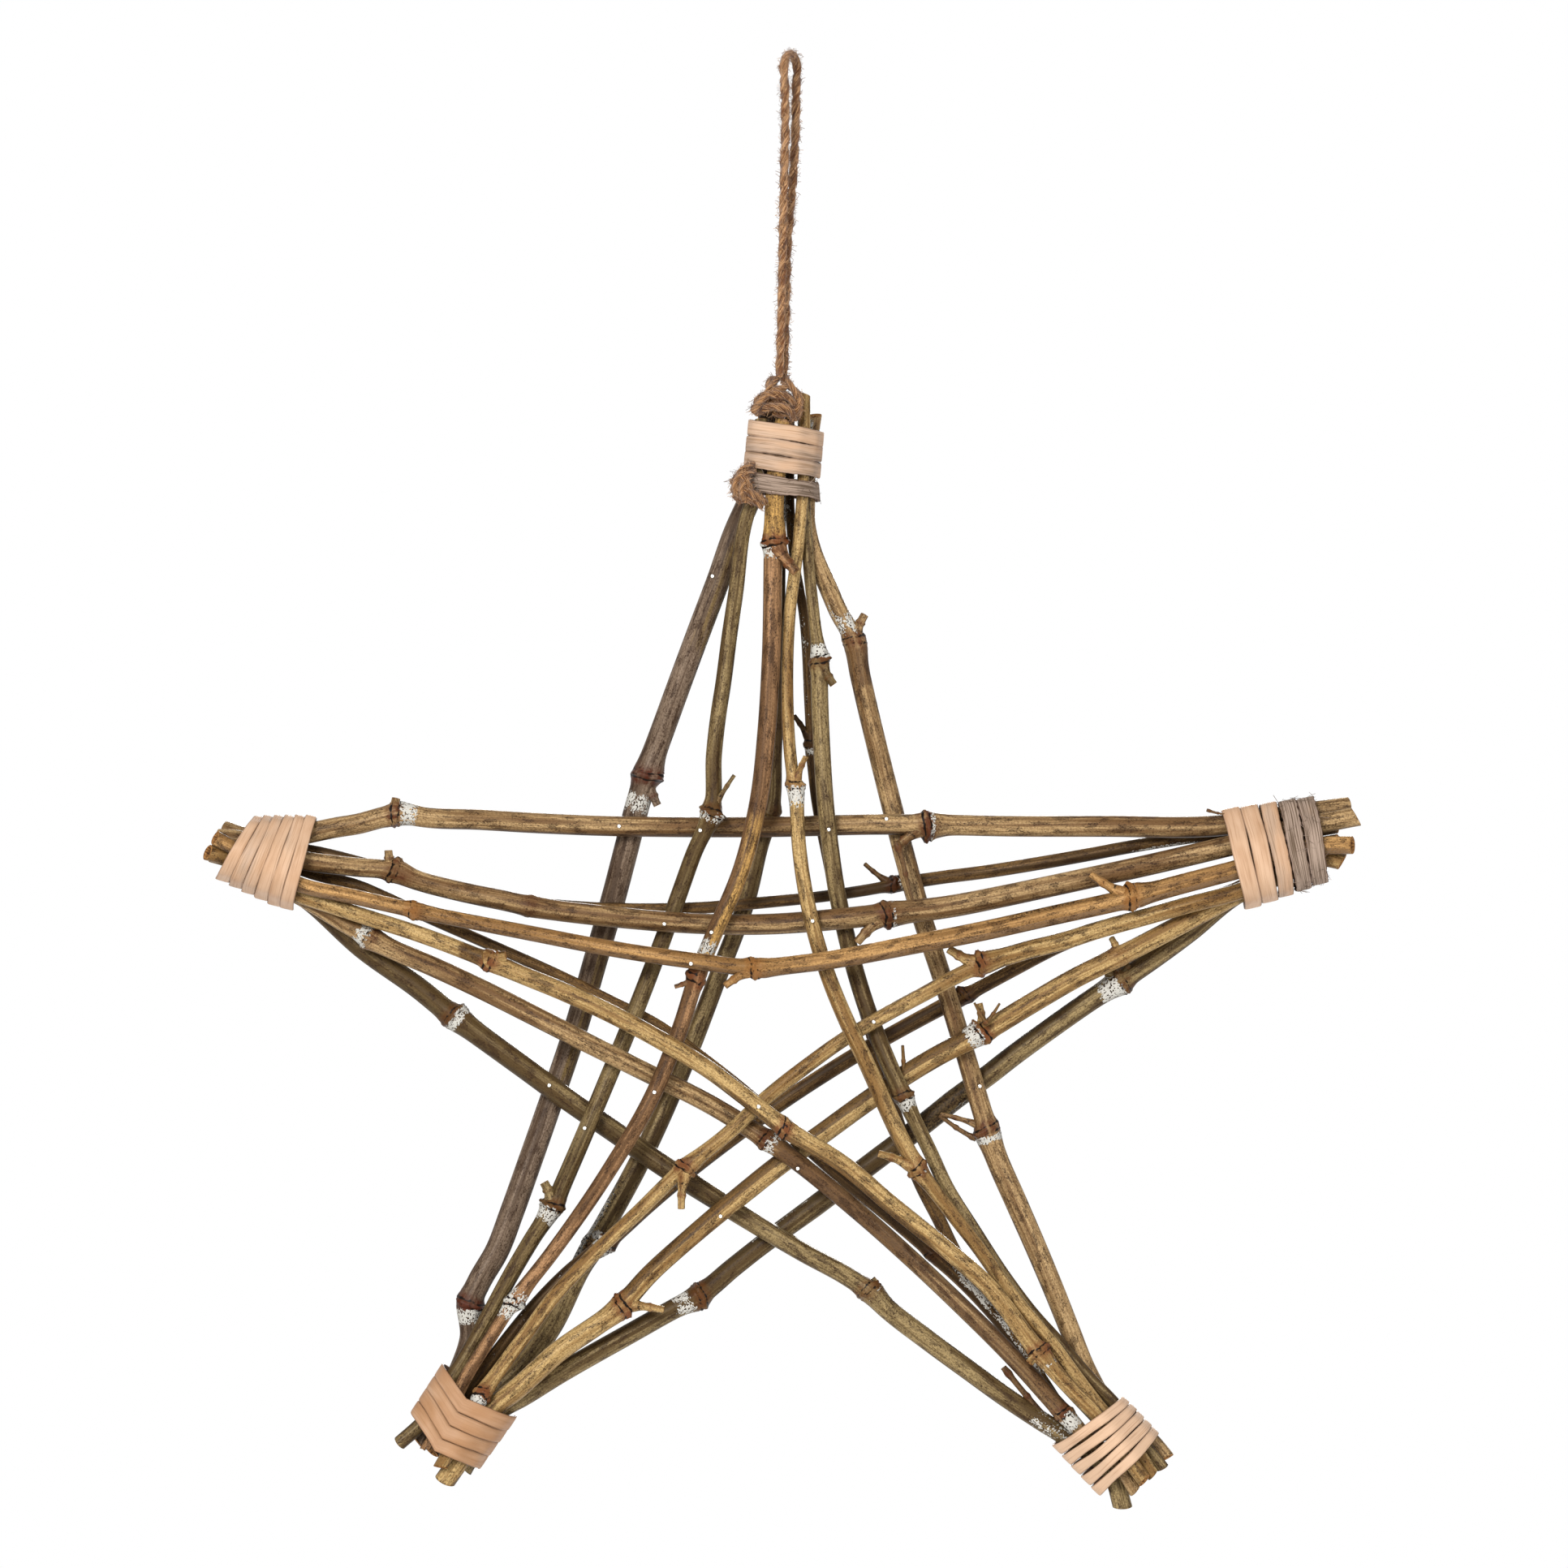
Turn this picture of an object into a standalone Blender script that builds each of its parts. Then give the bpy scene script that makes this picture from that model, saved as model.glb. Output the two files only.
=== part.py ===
"""Bamboo star ornament, 400 mm from arm tip to arm tip, hanging from a loop of jute twine.

Twenty bamboo stalks make four five-pointed stars that lie one behind the other. Cane strip binds
the tips, brad nails pin the crossings, and twine is knotted round the top tip. Metres, Z up.
The star faces -Y, and the origin is inside the top of the loop, where a hook would carry it.
"""

import math
from collections import namedtuple

import bmesh
import bpy
import numpy as np
from mathutils import Matrix, Vector
from mathutils.bvhtree import BVHTree

# Driving sizes, in metres
STAR_SPAN = 0.400
TOUCH_GAP = 0.0003
STALK_SIDES = 7
STRIP_THICK = 0.0009
STRIP_STEP = 0.0004
WRAP_SIDES = 12
TWINE_THICK = 0.0031
LOOP_BEND = 0.0057
LOOP_TURN = math.radians(66)
LOOP_DROP = 0.1113
LOOP_STEP = 2.5 * TWINE_THICK
KNOT_SIDES = 12
KNOT_FURROWS = 3
KNOT_FURROW = 0.07
KNOT_TWIST = 1.9
KNOT_SAMPLES = 6
BRAD_SHANK = 0.0008
BRAD_HEAD = 0.0014
BRAD_HEAD_THICK = 0.0005
BRAD_SIDES = 6
BRAD_BITE = 0.3
BRAD_SPAN = 0.0275 * STAR_SPAN
BRAD_CLEARANCE = 0.0001

# Routes are drawn on a sheet of squares, counted right and down, with SPAN_SQUARES to the star's
# span. TOP_MIDDLE is the sheet point under the loop, KNOT_TOP is where the loop leaves the knot.
SPAN_SQUARES = 1414
SQUARE = STAR_SPAN / SPAN_SQUARES
TOP_MIDDLE = 974
KNOT_TOP = (963, 468)

# How finely a stalk is drawn, and half the length of a joint
RING_STEP = 0.06 * STAR_SPAN
JOINT_HALF = 0.008 * STAR_SPAN
SHOOT_ROOT = 0.25

# How the stalks find their depth
SAMPLE_STEP = STAR_SPAN / 160
SHOOT_SAMPLES = (0.4, 0.6, 0.8, 1.0)
RANK_STEP = STAR_SPAN / 400
STIFFNESS = 4.0
TIP_REACH = 0.075 * STAR_SPAN
TIP_PULL = 1.0
SETTLE_ROUNDS = 500
PUSH_ROUNDS = 1500
PUSH_SHARE = 0.7

Stalk = namedtuple("Stalk", "name rank thick tone route joints")
Joint = namedtuple("Joint", "at swell shoots", defaults=(1.35, ()))
Shoot = namedtuple("Shoot", "reach thick forward", defaults=(0.0,))
Wrap = namedtuple("Wrap", "name turns inner outer bow tone")

TONES = {
    "olive": (0.235, 0.165, 0.078),
    "tan": (0.305, 0.205, 0.100),
    "yellow": (0.420, 0.270, 0.105),
    "orange": (0.400, 0.215, 0.080),
    "mauve": (0.225, 0.150, 0.105),
    "russet": (0.290, 0.140, 0.070),
    "dark": (0.120, 0.080, 0.045),
    "salmon": (0.640, 0.385, 0.235),
    "beige": (0.560, 0.400, 0.250),
    "weathered": (0.290, 0.215, 0.155),
    "jute": (0.360, 0.190, 0.075),
    "steel": (0.750, 0.740, 0.720),
}

# The stalks. Rank 1 is the front, thick is the thickness in squares at both ends of each length
# between joints, and each route runs between two tips on the sheet. A joint's shoots have their
# reach and thickness in squares too.
STALKS = (
    Stalk(
        "stalk_arms_front", 1, (18, 19, 18.5, 21, 22.5, 25, 25.5, 22), "orange",
        ((268, 1032), (288, 1043), (330, 1066), (366, 1087), (436, 1104), (511, 1121), (560, 1131),
         (612, 1141), (675, 1153), (716, 1161), (773, 1171), (857, 1183), (928, 1191), (997, 1185),
         (1139, 1160), (1206, 1147), (1292, 1128), (1391, 1106), (1450, 1090), (1515, 1073),
         (1629, 1042), (1664, 1041)),
        (Joint((511, 1121)), Joint((928, 1191), 1.35, (Shoot((-34, 22), 10.6, 0.15),)),
         Joint((1391, 1106), 1.5, (Shoot((-48, -29), 11.0, 0.15),))),
    ),
    Stalk(
        "stalk_arms_second", 3, (24, 24, 24.5, 25, 25, 26.5, 28, 25), "tan",
        ((266, 1033), (291, 1034), (330, 1048), (375, 1060), (436, 1068), (484, 1073), (513, 1084),
         (558, 1096), (590, 1103), (620, 1109), (652, 1116), (742, 1128), (933, 1139), (1090, 1126),
         (1167, 1117), (1240, 1103), (1292, 1092), (1348, 1080), (1390, 1071), (1510, 1043),
         (1622, 1015), (1669, 1006)),
        (Joint((484, 1073), 1.4, (Shoot((-4, -25), 12.0, 0.3),)),
         Joint((652, 1116), 1.12),
         Joint((1090, 1126), 1.3, (Shoot((-34, 34), 12.7, 0.2),))),
    ),
    Stalk(
        "stalk_arms_third", 6, (25, 25.5, 24.5, 26, 26.5, 26), "tan",
        ((277, 1024), (298, 1031), (345, 1034), (388, 1025), (412, 1020), (442, 1015), (472, 1007),
         (486, 1004), (503, 1004), (523, 1007), (590, 1010), (658, 1014), (758, 1018), (815, 1019),
         (950, 1019), (1078, 1016), (1139, 1016), (1251, 1018), (1364, 1018), (1492, 1018),
         (1620, 1000), (1660, 995)),
        (Joint((486, 1004), 1.3, (Shoot((2, -20), 12.7, 0.2),)),
         Joint((1139, 1016), 1.55, (Shoot((-36, 30), 12.7, 0.1),))),
    ),
    Stalk(
        "stalk_arms_back", 8, (15, 15, 17, 15), "dark",
        ((276, 1032), (293, 1036), (345, 1043), (385, 1049), (440, 1062), (480, 1073), (560, 1099),
         (650, 1112), (742, 1119), (857, 1119), (952, 1111), (1010, 1105), (1060, 1098),
         (1100, 1091), (1156, 1082), (1218, 1074), (1280, 1064), (1342, 1053), (1390, 1044),
         (1500, 1028), (1625, 1023), (1650, 1019)),
        (Joint((1100, 1091), 1.5, (Shoot((-34, -26), 6.4, -0.1),)),),
    ),
    Stalk(
        "stalk_falling_front", 1, (20, 20.5, 22.5, 22.5, 21.5, 22, 19, 18), "yellow",
        ((258, 1050), (290, 1058), (330, 1080), (365, 1100), (411, 1116), (460, 1132), (513, 1149),
         (603, 1183), (641, 1199), (693, 1220), (750, 1246), (802, 1273), (873, 1316), (917, 1349),
         (966, 1387), (1038, 1432), (1100, 1484), (1164, 1536), (1215, 1581), (1279, 1664),
         (1322, 1713), (1349, 1740), (1393, 1801), (1409, 1822)),
        (Joint((603, 1183), 1.3, (Shoot((22, -6), 15.6, 0.5),)), Joint((966, 1387), 1.2),
         Joint((1280, 1665), 1.5, (Shoot((-12, 12), 12.0, 0.6),))),
    ),
    Stalk(
        "stalk_falling_second", 4, (23, 24.5, 24.5, 24, 22, 22.5, 20, 19), "tan",
        ((264, 1052), (285, 1058), (325, 1080), (371, 1104), (434, 1142), (475, 1165), (535, 1191),
         (593, 1218), (649, 1246), (736, 1290), (786, 1315), (886, 1366), (946, 1404), (1067, 1500),
         (1114, 1542), (1181, 1605), (1256, 1680), (1308, 1738), (1332, 1764), (1384, 1812),
         (1398, 1834)),
        (Joint((453, 1154), 1.35, (Shoot((10, 6), 14.8, 0.9),)), Joint((946, 1404), 1.35),
         Joint((1311, 1741), 1.2)),
    ),
    Stalk(
        "stalk_falling_third", 7, (23, 27.5, 28.5, 25.5, 26, 23.5), "olive",
        ((268, 1052), (286, 1056), (325, 1077), (370, 1103), (449, 1171), (516, 1218), (557, 1251),
         (590, 1275), (641, 1312), (709, 1362), (753, 1392), (815, 1435), (870, 1470), (927, 1505),
         (990, 1542), (1046, 1573), (1068, 1588), (1093, 1612), (1142, 1650), (1191, 1686),
         (1242, 1723), (1284, 1751), (1320, 1774), (1371, 1817), (1383, 1856)),
        (Joint((557, 1251), 1.35), Joint((1068, 1588), 1.35, (Shoot((12, -12), 10.6, 0.3),))),
    ),
    Stalk(
        "stalk_falling_back", 8, (14.5, 15, 15.5, 14.8), "dark",
        ((270, 1036), (288, 1041), (330, 1057), (385, 1077), (440, 1091), (480, 1108), (520, 1127),
         (590, 1158), (647, 1183), (699, 1207), (755, 1235), (808, 1262), (865, 1303), (936, 1360),
         (1000, 1420), (1148, 1545), (1198, 1592), (1262, 1668), (1300, 1725), (1322, 1760),
         (1380, 1809), (1392, 1824)),
        (Joint((1148, 1545), 1.4),),
    ),
    Stalk(
        "stalk_rising_front", 3, (20, 23, 19.5, 17.5, 18, 18, 18, 17), "yellow",
        ((1652, 1062), (1633, 1058), (1580, 1077), (1522, 1099), (1465, 1114), (1415, 1128),
         (1344, 1148), (1313, 1158), (1262, 1171), (1206, 1189), (1135, 1225), (1089, 1250),
         (1028, 1287), (1006, 1303), (946, 1350), (895, 1397), (844, 1437), (786, 1493),
         (725, 1551), (681, 1599), (652, 1638), (624, 1676), (600, 1709), (592, 1721), (559, 1779),
         (544, 1805)),
        (Joint((1206, 1189), 1.55, (Shoot((-38, -20), 12.7, 0.2),)),
         Joint((844, 1437), 1.6, (Shoot((-4, 50), 10.6, 0.2),)), Joint((594, 1718), 1.35)),
    ),
    Stalk(
        "stalk_rising_second", 6, (24, 24, 24, 26, 25.5, 25.5, 26, 26.5), "yellow",
        ((1655, 1050), (1631, 1050), (1580, 1076), (1522, 1103), (1466, 1133), (1379, 1178),
         (1326, 1204), (1272, 1235), (1210, 1272), (1156, 1300), (1129, 1316), (1062, 1361),
         (1018, 1393), (948, 1444), (923, 1464), (869, 1509), (846, 1529), (800, 1571), (768, 1606),
         (684, 1668), (635, 1712), (612, 1730), (572, 1790), (549, 1823)),
        (Joint((1379, 1178), 1.1, (Shoot((-10, -22), 9.2, -0.1),)),
         Joint((1210, 1272), 1.35, (Shoot((-4, -36), 9.9, 0.3),)),
         Joint((768, 1606), 1.35, (Shoot((50, 6), 10.6, 0.2),))),
    ),
    Stalk(
        "stalk_rising_third", 8, (22, 25.5, 26.5, 27, 25, 25), "tan",
        ((1650, 1053), (1634, 1053), (1585, 1074), (1522, 1104), (1466, 1149), (1402, 1195),
         (1344, 1233), (1293, 1269), (1243, 1306), (1224, 1321), (1172, 1359), (1151, 1376),
         (1078, 1431), (1011, 1482), (927, 1545), (903, 1564), (866, 1594), (827, 1615),
         (786, 1638), (684, 1696), (642, 1722), (620, 1734), (579, 1794), (571, 1808)),
        (Joint((1384, 1208), 1.45, (Shoot((-22, -8), 12.0, 0.5),)), Joint((864, 1595), 1.45)),
    ),
    Stalk(
        "stalk_rising_back", 8, (17, 18.5, 20, 19, 18, 18), "dark",
        ((1650, 1036), (1628, 1040), (1570, 1072), (1517, 1099), (1440, 1121), (1303, 1167),
         (1249, 1195), (1193, 1225), (1143, 1251), (1097, 1276), (1039, 1310), (1015, 1325),
         (959, 1362), (894, 1409), (869, 1428), (812, 1474), (797, 1487), (748, 1531), (706, 1563),
         (658, 1611), (618, 1660), (583, 1706), (546, 1770), (533, 1789)),
        (Joint((1190, 1227), 1.4), Joint((748, 1531), 1.5)),
    ),
    Stalk(
        "stalk_left_leg_front", 2, (22.6, 24, 24, 20.5, 20.5, 18.5, 17.5, 16.5), "russet",
        ((967, 518), (961, 545), (955, 606), (953, 670), (950, 812), (945, 897), (934, 991),
         (915, 1067), (876, 1160), (858, 1205), (841, 1259), (807, 1344), (749, 1444),
         (678, 1546), (633, 1604), (607, 1645), (576, 1694), (540, 1764), (527, 1784)),
        (Joint((953, 670), 1.45, (Shoot((28, 36), 14.1, 0.3),)),
         Joint((858, 1205), 1.3, (Shoot((-26, 10), 6.4, 0.2),)), Joint((633, 1604), 1.5)),
    ),
    Stalk(
        "stalk_left_leg_second", 5, (17, 20.5, 20, 23, 21.5, 18), "olive",
        ((938, 519), (937, 555), (931, 600), (917, 650), (907, 728), (899, 783), (891, 845),
         (886, 877), (880, 930), (877, 999), (854, 1054), (840, 1093), (817, 1157), (790, 1228),
         (769, 1281), (749, 1329), (716, 1407), (694, 1458), (683, 1484), (656, 1526), (634, 1563),
         (600, 1625), (573, 1673), (557, 1698), (521, 1752), (493, 1777)),
        (Joint((877, 998), 1.65, (Shoot((28, -44), 5.7, 0.3),)),
         Joint((684, 1485), 1.5, (Shoot((-12, -28), 13.4, 0.3),))),
    ),
    Stalk(
        "stalk_left_leg_third", 9, (27, 31, 31, 29.5, 27, 24), "mauve",
        ((948, 502), (946, 535), (939, 575), (925, 612), (906, 655), (885, 715), (863, 773),
         (841, 832), (819, 892), (797, 953), (786, 989), (770, 1051), (757, 1101), (731, 1191),
         (713, 1254), (672, 1376), (651, 1436), (630, 1495), (612, 1542), (590, 1580), (579, 1605),
         (579, 1650), (566, 1688), (527, 1757), (515, 1778)),
        (Joint((796, 955), 1.4, (Shoot((14, 36), 12.0, 0.3),)), Joint((579, 1605), 1.35)),
    ),
    Stalk(
        "stalk_left_leg_back", 9, (17, 20, 21, 26.5, 27, 26), "dark",
        ((956, 509), (958, 560), (959, 606), (959, 700), (957, 850), (954, 925), (950, 999),
         (937, 1040), (921, 1106), (886, 1200), (841, 1315), (779, 1449), (748, 1505), (713, 1566),
         (677, 1639), (640, 1688), (603, 1723), (562, 1783), (552, 1799)),
        (Joint((950, 999), 1.3), Joint((731, 1535), 1.2)),
    ),
    Stalk(
        "stalk_right_leg_front", 2, (14.8, 15.5, 17, 22, 18, 16.3), "orange",
        ((991, 487), (991, 530), (989, 606), (983, 676), (973, 756), (970, 850), (975, 941),
         (980, 976), (985, 1048), (989, 1079), (996, 1117), (1007, 1161), (1024, 1212),
         (1044, 1260), (1062, 1298), (1130, 1437), (1174, 1496), (1199, 1528), (1251, 1601),
         (1300, 1660), (1327, 1697), (1354, 1732), (1405, 1793), (1420, 1816)),
        (Joint((979, 967), 1.5, (Shoot((14, -34), 7.8, 0.2),)),
         Joint((1130, 1437), 1.45, (Shoot((-48, -18), 10.6, 0.3),))),
    ),
    Stalk(
        "stalk_right_leg_second", 5, (12, 15, 21, 22, 19, 16), "olive",
        ((989, 518), (988, 560), (991, 606), (996, 692), (1003, 760), (1009, 815), (1010, 860),
         (1013, 930), (1018, 1000), (1024, 1051), (1028, 1080), (1043, 1154), (1056, 1204),
         (1065, 1233), (1111, 1347), (1147, 1421), (1165, 1460), (1198, 1513), (1240, 1577),
         (1272, 1619), (1302, 1652), (1347, 1703), (1368, 1724), (1414, 1785), (1432, 1808)),
        (Joint((1010, 814), 1.6, (Shoot((18, 28), 12.0, 0.3),)), Joint((1111, 1347), 1.4)),
    ),
    Stalk(
        "stalk_right_leg_third", 7, (19.1, 24, 26, 26, 28, 23), "tan",
        ((1003, 512), (998, 545), (995, 580), (994, 614), (994, 645), (1002, 680), (1020, 723),
         (1033, 753), (1050, 784), (1060, 832), (1067, 863), (1082, 925), (1097, 985), (1115, 1056),
         (1140, 1144), (1154, 1186), (1192, 1310), (1210, 1371), (1226, 1422), (1251, 1479),
         (1276, 1536), (1300, 1593), (1318, 1638), (1339, 1689), (1362, 1729), (1421, 1780),
         (1436, 1798)),
        (Joint((1051, 787), 1.25, (Shoot((14, -30), 12.0, 0.2),)),
         Joint((1216, 1391), 1.35, (Shoot((-56, -17), 6.4, -0.1),))),
    ),
    Stalk(
        "stalk_right_leg_back", 9, (12, 12.5, 14, 19), "dark",
        ((973, 507), (973, 560), (973, 620), (979, 690), (990, 756), (997, 869), (1000, 920),
         (1006, 981), (1021, 1060), (1036, 1130), (1052, 1195), (1082, 1300), (1112, 1400),
         (1135, 1460), (1158, 1505), (1178, 1546), (1222, 1608), (1300, 1692), (1350, 1745),
         (1400, 1797), (1412, 1812)),
        (Joint((999, 912), 1.4, (Shoot((-21, -31), 7.1, 0.1),)),),
    ),
)

# The cane wraps. inner and outer are the left and right ends of the strip's first and last edge,
# and bow is how far the middle of the front sags towards the tip, in squares.
WRAPS = (
    Wrap("wrap_top", 3, ((921, 577), (1006, 589)), ((927, 518), (1010, 531)), 0, "beige"),
    Wrap("wrap_top_lower", 1, ((926, 604), (1004, 614)), ((922, 585), (1005, 596)), 0, "weathered"),
    Wrap("wrap_left", 6, ((362, 1119), (389, 1012)), ((272, 1073), (306, 1017)), 0, "salmon"),
    Wrap("wrap_right", 5, ((1505, 1003), (1531, 1110)), ((1620, 985), (1635, 1078)), 0, "salmon"),
    Wrap("wrap_left_foot", 4, ((634, 1743), (552, 1685)), ((589, 1808), (514, 1746)), 16, "salmon"),
    Wrap("wrap_right_foot", 5, ((1377, 1723), (1301, 1776)), ((1430, 1766), (1361, 1838)), 0, "salmon"),
)

# Where each brad's head lies on the sheet
BRADS = (
    ("brad_left_leg_top", (878, 710)),
    ("brad_arms_left_outer", (763, 1018)),
    ("brad_arms_left_inner", (863, 1023)),
    ("brad_arms_right_inner", (1021, 1022)),
    ("brad_arms_right_outer", (1092, 1009)),
    ("brad_left_leg_outer", (819, 1138)),
    ("brad_left_leg_middle", (877, 1148)),
    ("brad_right_leg_middle", (1001, 1134)),
    ("brad_left_leg_inner", (852, 1186)),
    ("brad_rising_top", (1076, 1258)),
    ("brad_falling_outer", (677, 1337)),
    ("brad_left_leg_foot", (721, 1389)),
    ("brad_left_leg_low", (807, 1344)),
    ("brad_falling_middle", (935, 1361)),
    ("brad_falling_low", (983, 1438)),
    ("brad_rising_low", (888, 1497)),
    ("brad_right_leg_low", (1207, 1338)),
)

# The two strands of the loop: share of the way from the bend down to the knot, the sheet's line
# between them, and how far each stands off from where they would touch, in squares.
LOOP_STRANDS = (
    (0.032, 974, 12.1), (0.159, 974, 10.0), (0.331, 972, 7.5), (0.477, 969, 3.6),
    (0.596, 967, 0.5), (0.701, 966, 0.18), (0.847, 965, 0.18),
)

# The knots, each as its levels from the top down: height on the sheet, middle, half width and half
# depth in squares.
TOP_KNOT = (
    (468, 963, 12, 13), (478, 958, 18, 17), (489, 956, 28, 19), (499, 956, 27, 18),
    (508, 957, 21, 15), (515, 958, 12, 9),
)
SIDE_KNOT = (
    (577, 917, 7, 6), (588, 914, 12, 10), (601, 912, 13, 11), (613, 912, 12, 11), (626, 912, 6, 6),
)
SIDE_KNOT_TAIL = (3, Shoot((26, 9), TWINE_THICK / SQUARE))


def place(square_x, square_y):
    """The sheet point in metres, as (x, z)."""
    return (
        (square_x - TOP_MIDDLE) * SQUARE,
        (KNOT_TOP[1] - square_y) * SQUARE - LOOP_DROP,
    )


def smooth_line(points, step):
    """Points about step apart on a smooth curve through the given points, of any dimension."""
    points = np.array(points, float)
    gaps = np.linalg.norm(np.diff(points, axis=0), axis=1)
    slopes = np.diff(points, axis=0) / gaps[:, None]
    tangents = np.empty_like(points)
    tangents[0], tangents[-1] = slopes[0], slopes[-1]
    before, after = gaps[:-1, None], gaps[1:, None]
    tangents[1:-1] = (after * slopes[:-1] + before * slopes[1:]) / (before + after)
    line = [points[0]]
    for k, gap in enumerate(gaps):
        count = max(1, math.ceil(gap / step))
        for t in np.arange(1, count + 1) / count:
            line.append(
                (2 * t**3 - 3 * t**2 + 1) * points[k]
                + (t**3 - 2 * t**2 + t) * gap * tangents[k]
                + (3 * t**2 - 2 * t**3) * points[k + 1]
                + (t**3 - t**2) * gap * tangents[k + 1]
            )
    return np.array(line)


def lengths_along(line):
    return np.concatenate([[0], np.cumsum(np.linalg.norm(np.diff(line, axis=0), axis=1))])


class Layout:
    """A stalk's rings on the sheet: where they are, how thick, and which belong to a joint."""

    def __init__(self, stalk):
        line = smooth_line([place(*p) for p in stalk.route], SAMPLE_STEP / 2)
        along = lengths_along(line)
        joints = [
            along[np.linalg.norm(line - place(*joint.at), axis=1).argmin()]
            for joint in stalk.joints
        ]
        marks = sorted(at + side * JOINT_HALF for at in joints for side in (-1, 0, 1))
        stops = [0.0, *marks, along[-1]]
        rings = []
        for start, end in zip(stops[:-1], stops[1:]):
            count = max(1, round((end - start) / RING_STEP))
            rings += [start + (end - start) * k / count for k in range(count)]
        self.stalk = stalk
        self.at = np.array([*rings, along[-1]])
        self.xz = np.stack([np.interp(self.at, along, line[:, k]) for k in (0, 1)], axis=1)
        places = [at + side * JOINT_HALF for at in sorted(joints) for side in (-1, 1)]
        self.radius = np.interp(self.at, [0, *places, along[-1]], stalk.thick) * SQUARE / 2
        self.joint_rings = [int(np.abs(self.at - at).argmin()) for at in joints]
        for ring, joint in zip(self.joint_rings, stalk.joints):
            self.radius[ring] *= joint.swell
        self.y = np.zeros(len(self.at))

    def points(self):
        return np.stack([self.xz[:, 0], self.y, self.xz[:, 1]], axis=1)

    def smoothing(self):
        """The matrix that takes depths to those of a stiff stalk, drawn in where its tips are bound."""
        count = len(self.at)
        gaps = np.diff(self.at) / RING_STEP
        bends = np.zeros((count - 2, count))
        for k in range(count - 2):
            bends[k, k] = 1 / gaps[k]
            bends[k, k + 1] = -1 / gaps[k] - 1 / gaps[k + 1]
            bends[k, k + 2] = 1 / gaps[k + 1]
        near_end = np.exp(-np.minimum(self.at, self.at[-1] - self.at) / TIP_REACH)
        pull = np.diag(1 + TIP_PULL * near_end)
        return np.linalg.inv(pull + STIFFNESS * bends.T @ bends)


def shoot_steps(shoot):
    """A shoot's way out from its joint, as (across, forward, up) in metres."""
    across, down = shoot.reach
    length = math.hypot(across, down) * SQUARE
    return np.array([across * SQUARE, -shoot.forward * length, -down * SQUARE])


def samples_of(layouts):
    """Spheres along all stalks and shoots: ring pair and share, sheet place, depth offset, radius."""
    rows = []
    first = 0
    for number, layout in enumerate(layouts):
        for k, gap in enumerate(np.diff(layout.at)):
            for t in np.arange(0, 1, SAMPLE_STEP / max(gap, SAMPLE_STEP)):
                spot = layout.xz[k] * (1 - t) + layout.xz[k + 1] * t
                radius = layout.radius[k] * (1 - t) + layout.radius[k + 1] * t
                rows.append((number, first + k, t, *spot, 0.0, radius))
        last = len(layout.at) - 1
        rows.append((number, first + last - 1, 1.0, *layout.xz[last], 0.0, layout.radius[last]))
        for ring, joint in zip(layout.joint_rings, layout.stalk.joints):
            for shoot in joint.shoots:
                way = shoot_steps(shoot)
                corner = shoot.thick * SQUARE / math.sqrt(2)
                for share in SHOOT_SAMPLES:
                    spot = layout.xz[ring] + share * way[[0, 2]]
                    rows.append((number, first + ring, 0.0, *spot, share * way[1], corner))
        first += len(layout.at)
    return np.array(rows)


def meetings_of(layouts, samples):
    """Pairs of samples that pass over each other: front row, back row and the depth they need."""
    ranks = np.array([layout.stalk.rank + 0.01 * k for k, layout in enumerate(layouts)])
    stalk = samples[:, 0].astype(int)
    pairs = []
    for front in range(len(layouts)):
        for back in range(len(layouts)):
            if ranks[front] >= ranks[back]:
                continue
            a, b = np.flatnonzero(stalk == front), np.flatnonzero(stalk == back)
            apart = samples[a][:, None, 3:5] - samples[b][None, :, 3:5]
            apart = np.maximum(np.linalg.norm(apart, axis=2) - SAMPLE_STEP / 2, 0)
            reach = samples[a, 6][:, None] + samples[b, 6][None, :] + TOUCH_GAP
            i, j = np.nonzero(apart < reach)
            if len(i):
                need = np.sqrt(reach[i, j] ** 2 - apart[i, j] ** 2)
                need += samples[a[i], 5] - samples[b[j], 5]
                pairs.append(np.stack([a[i], b[j], need], axis=1))
    return np.concatenate(pairs)


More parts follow.
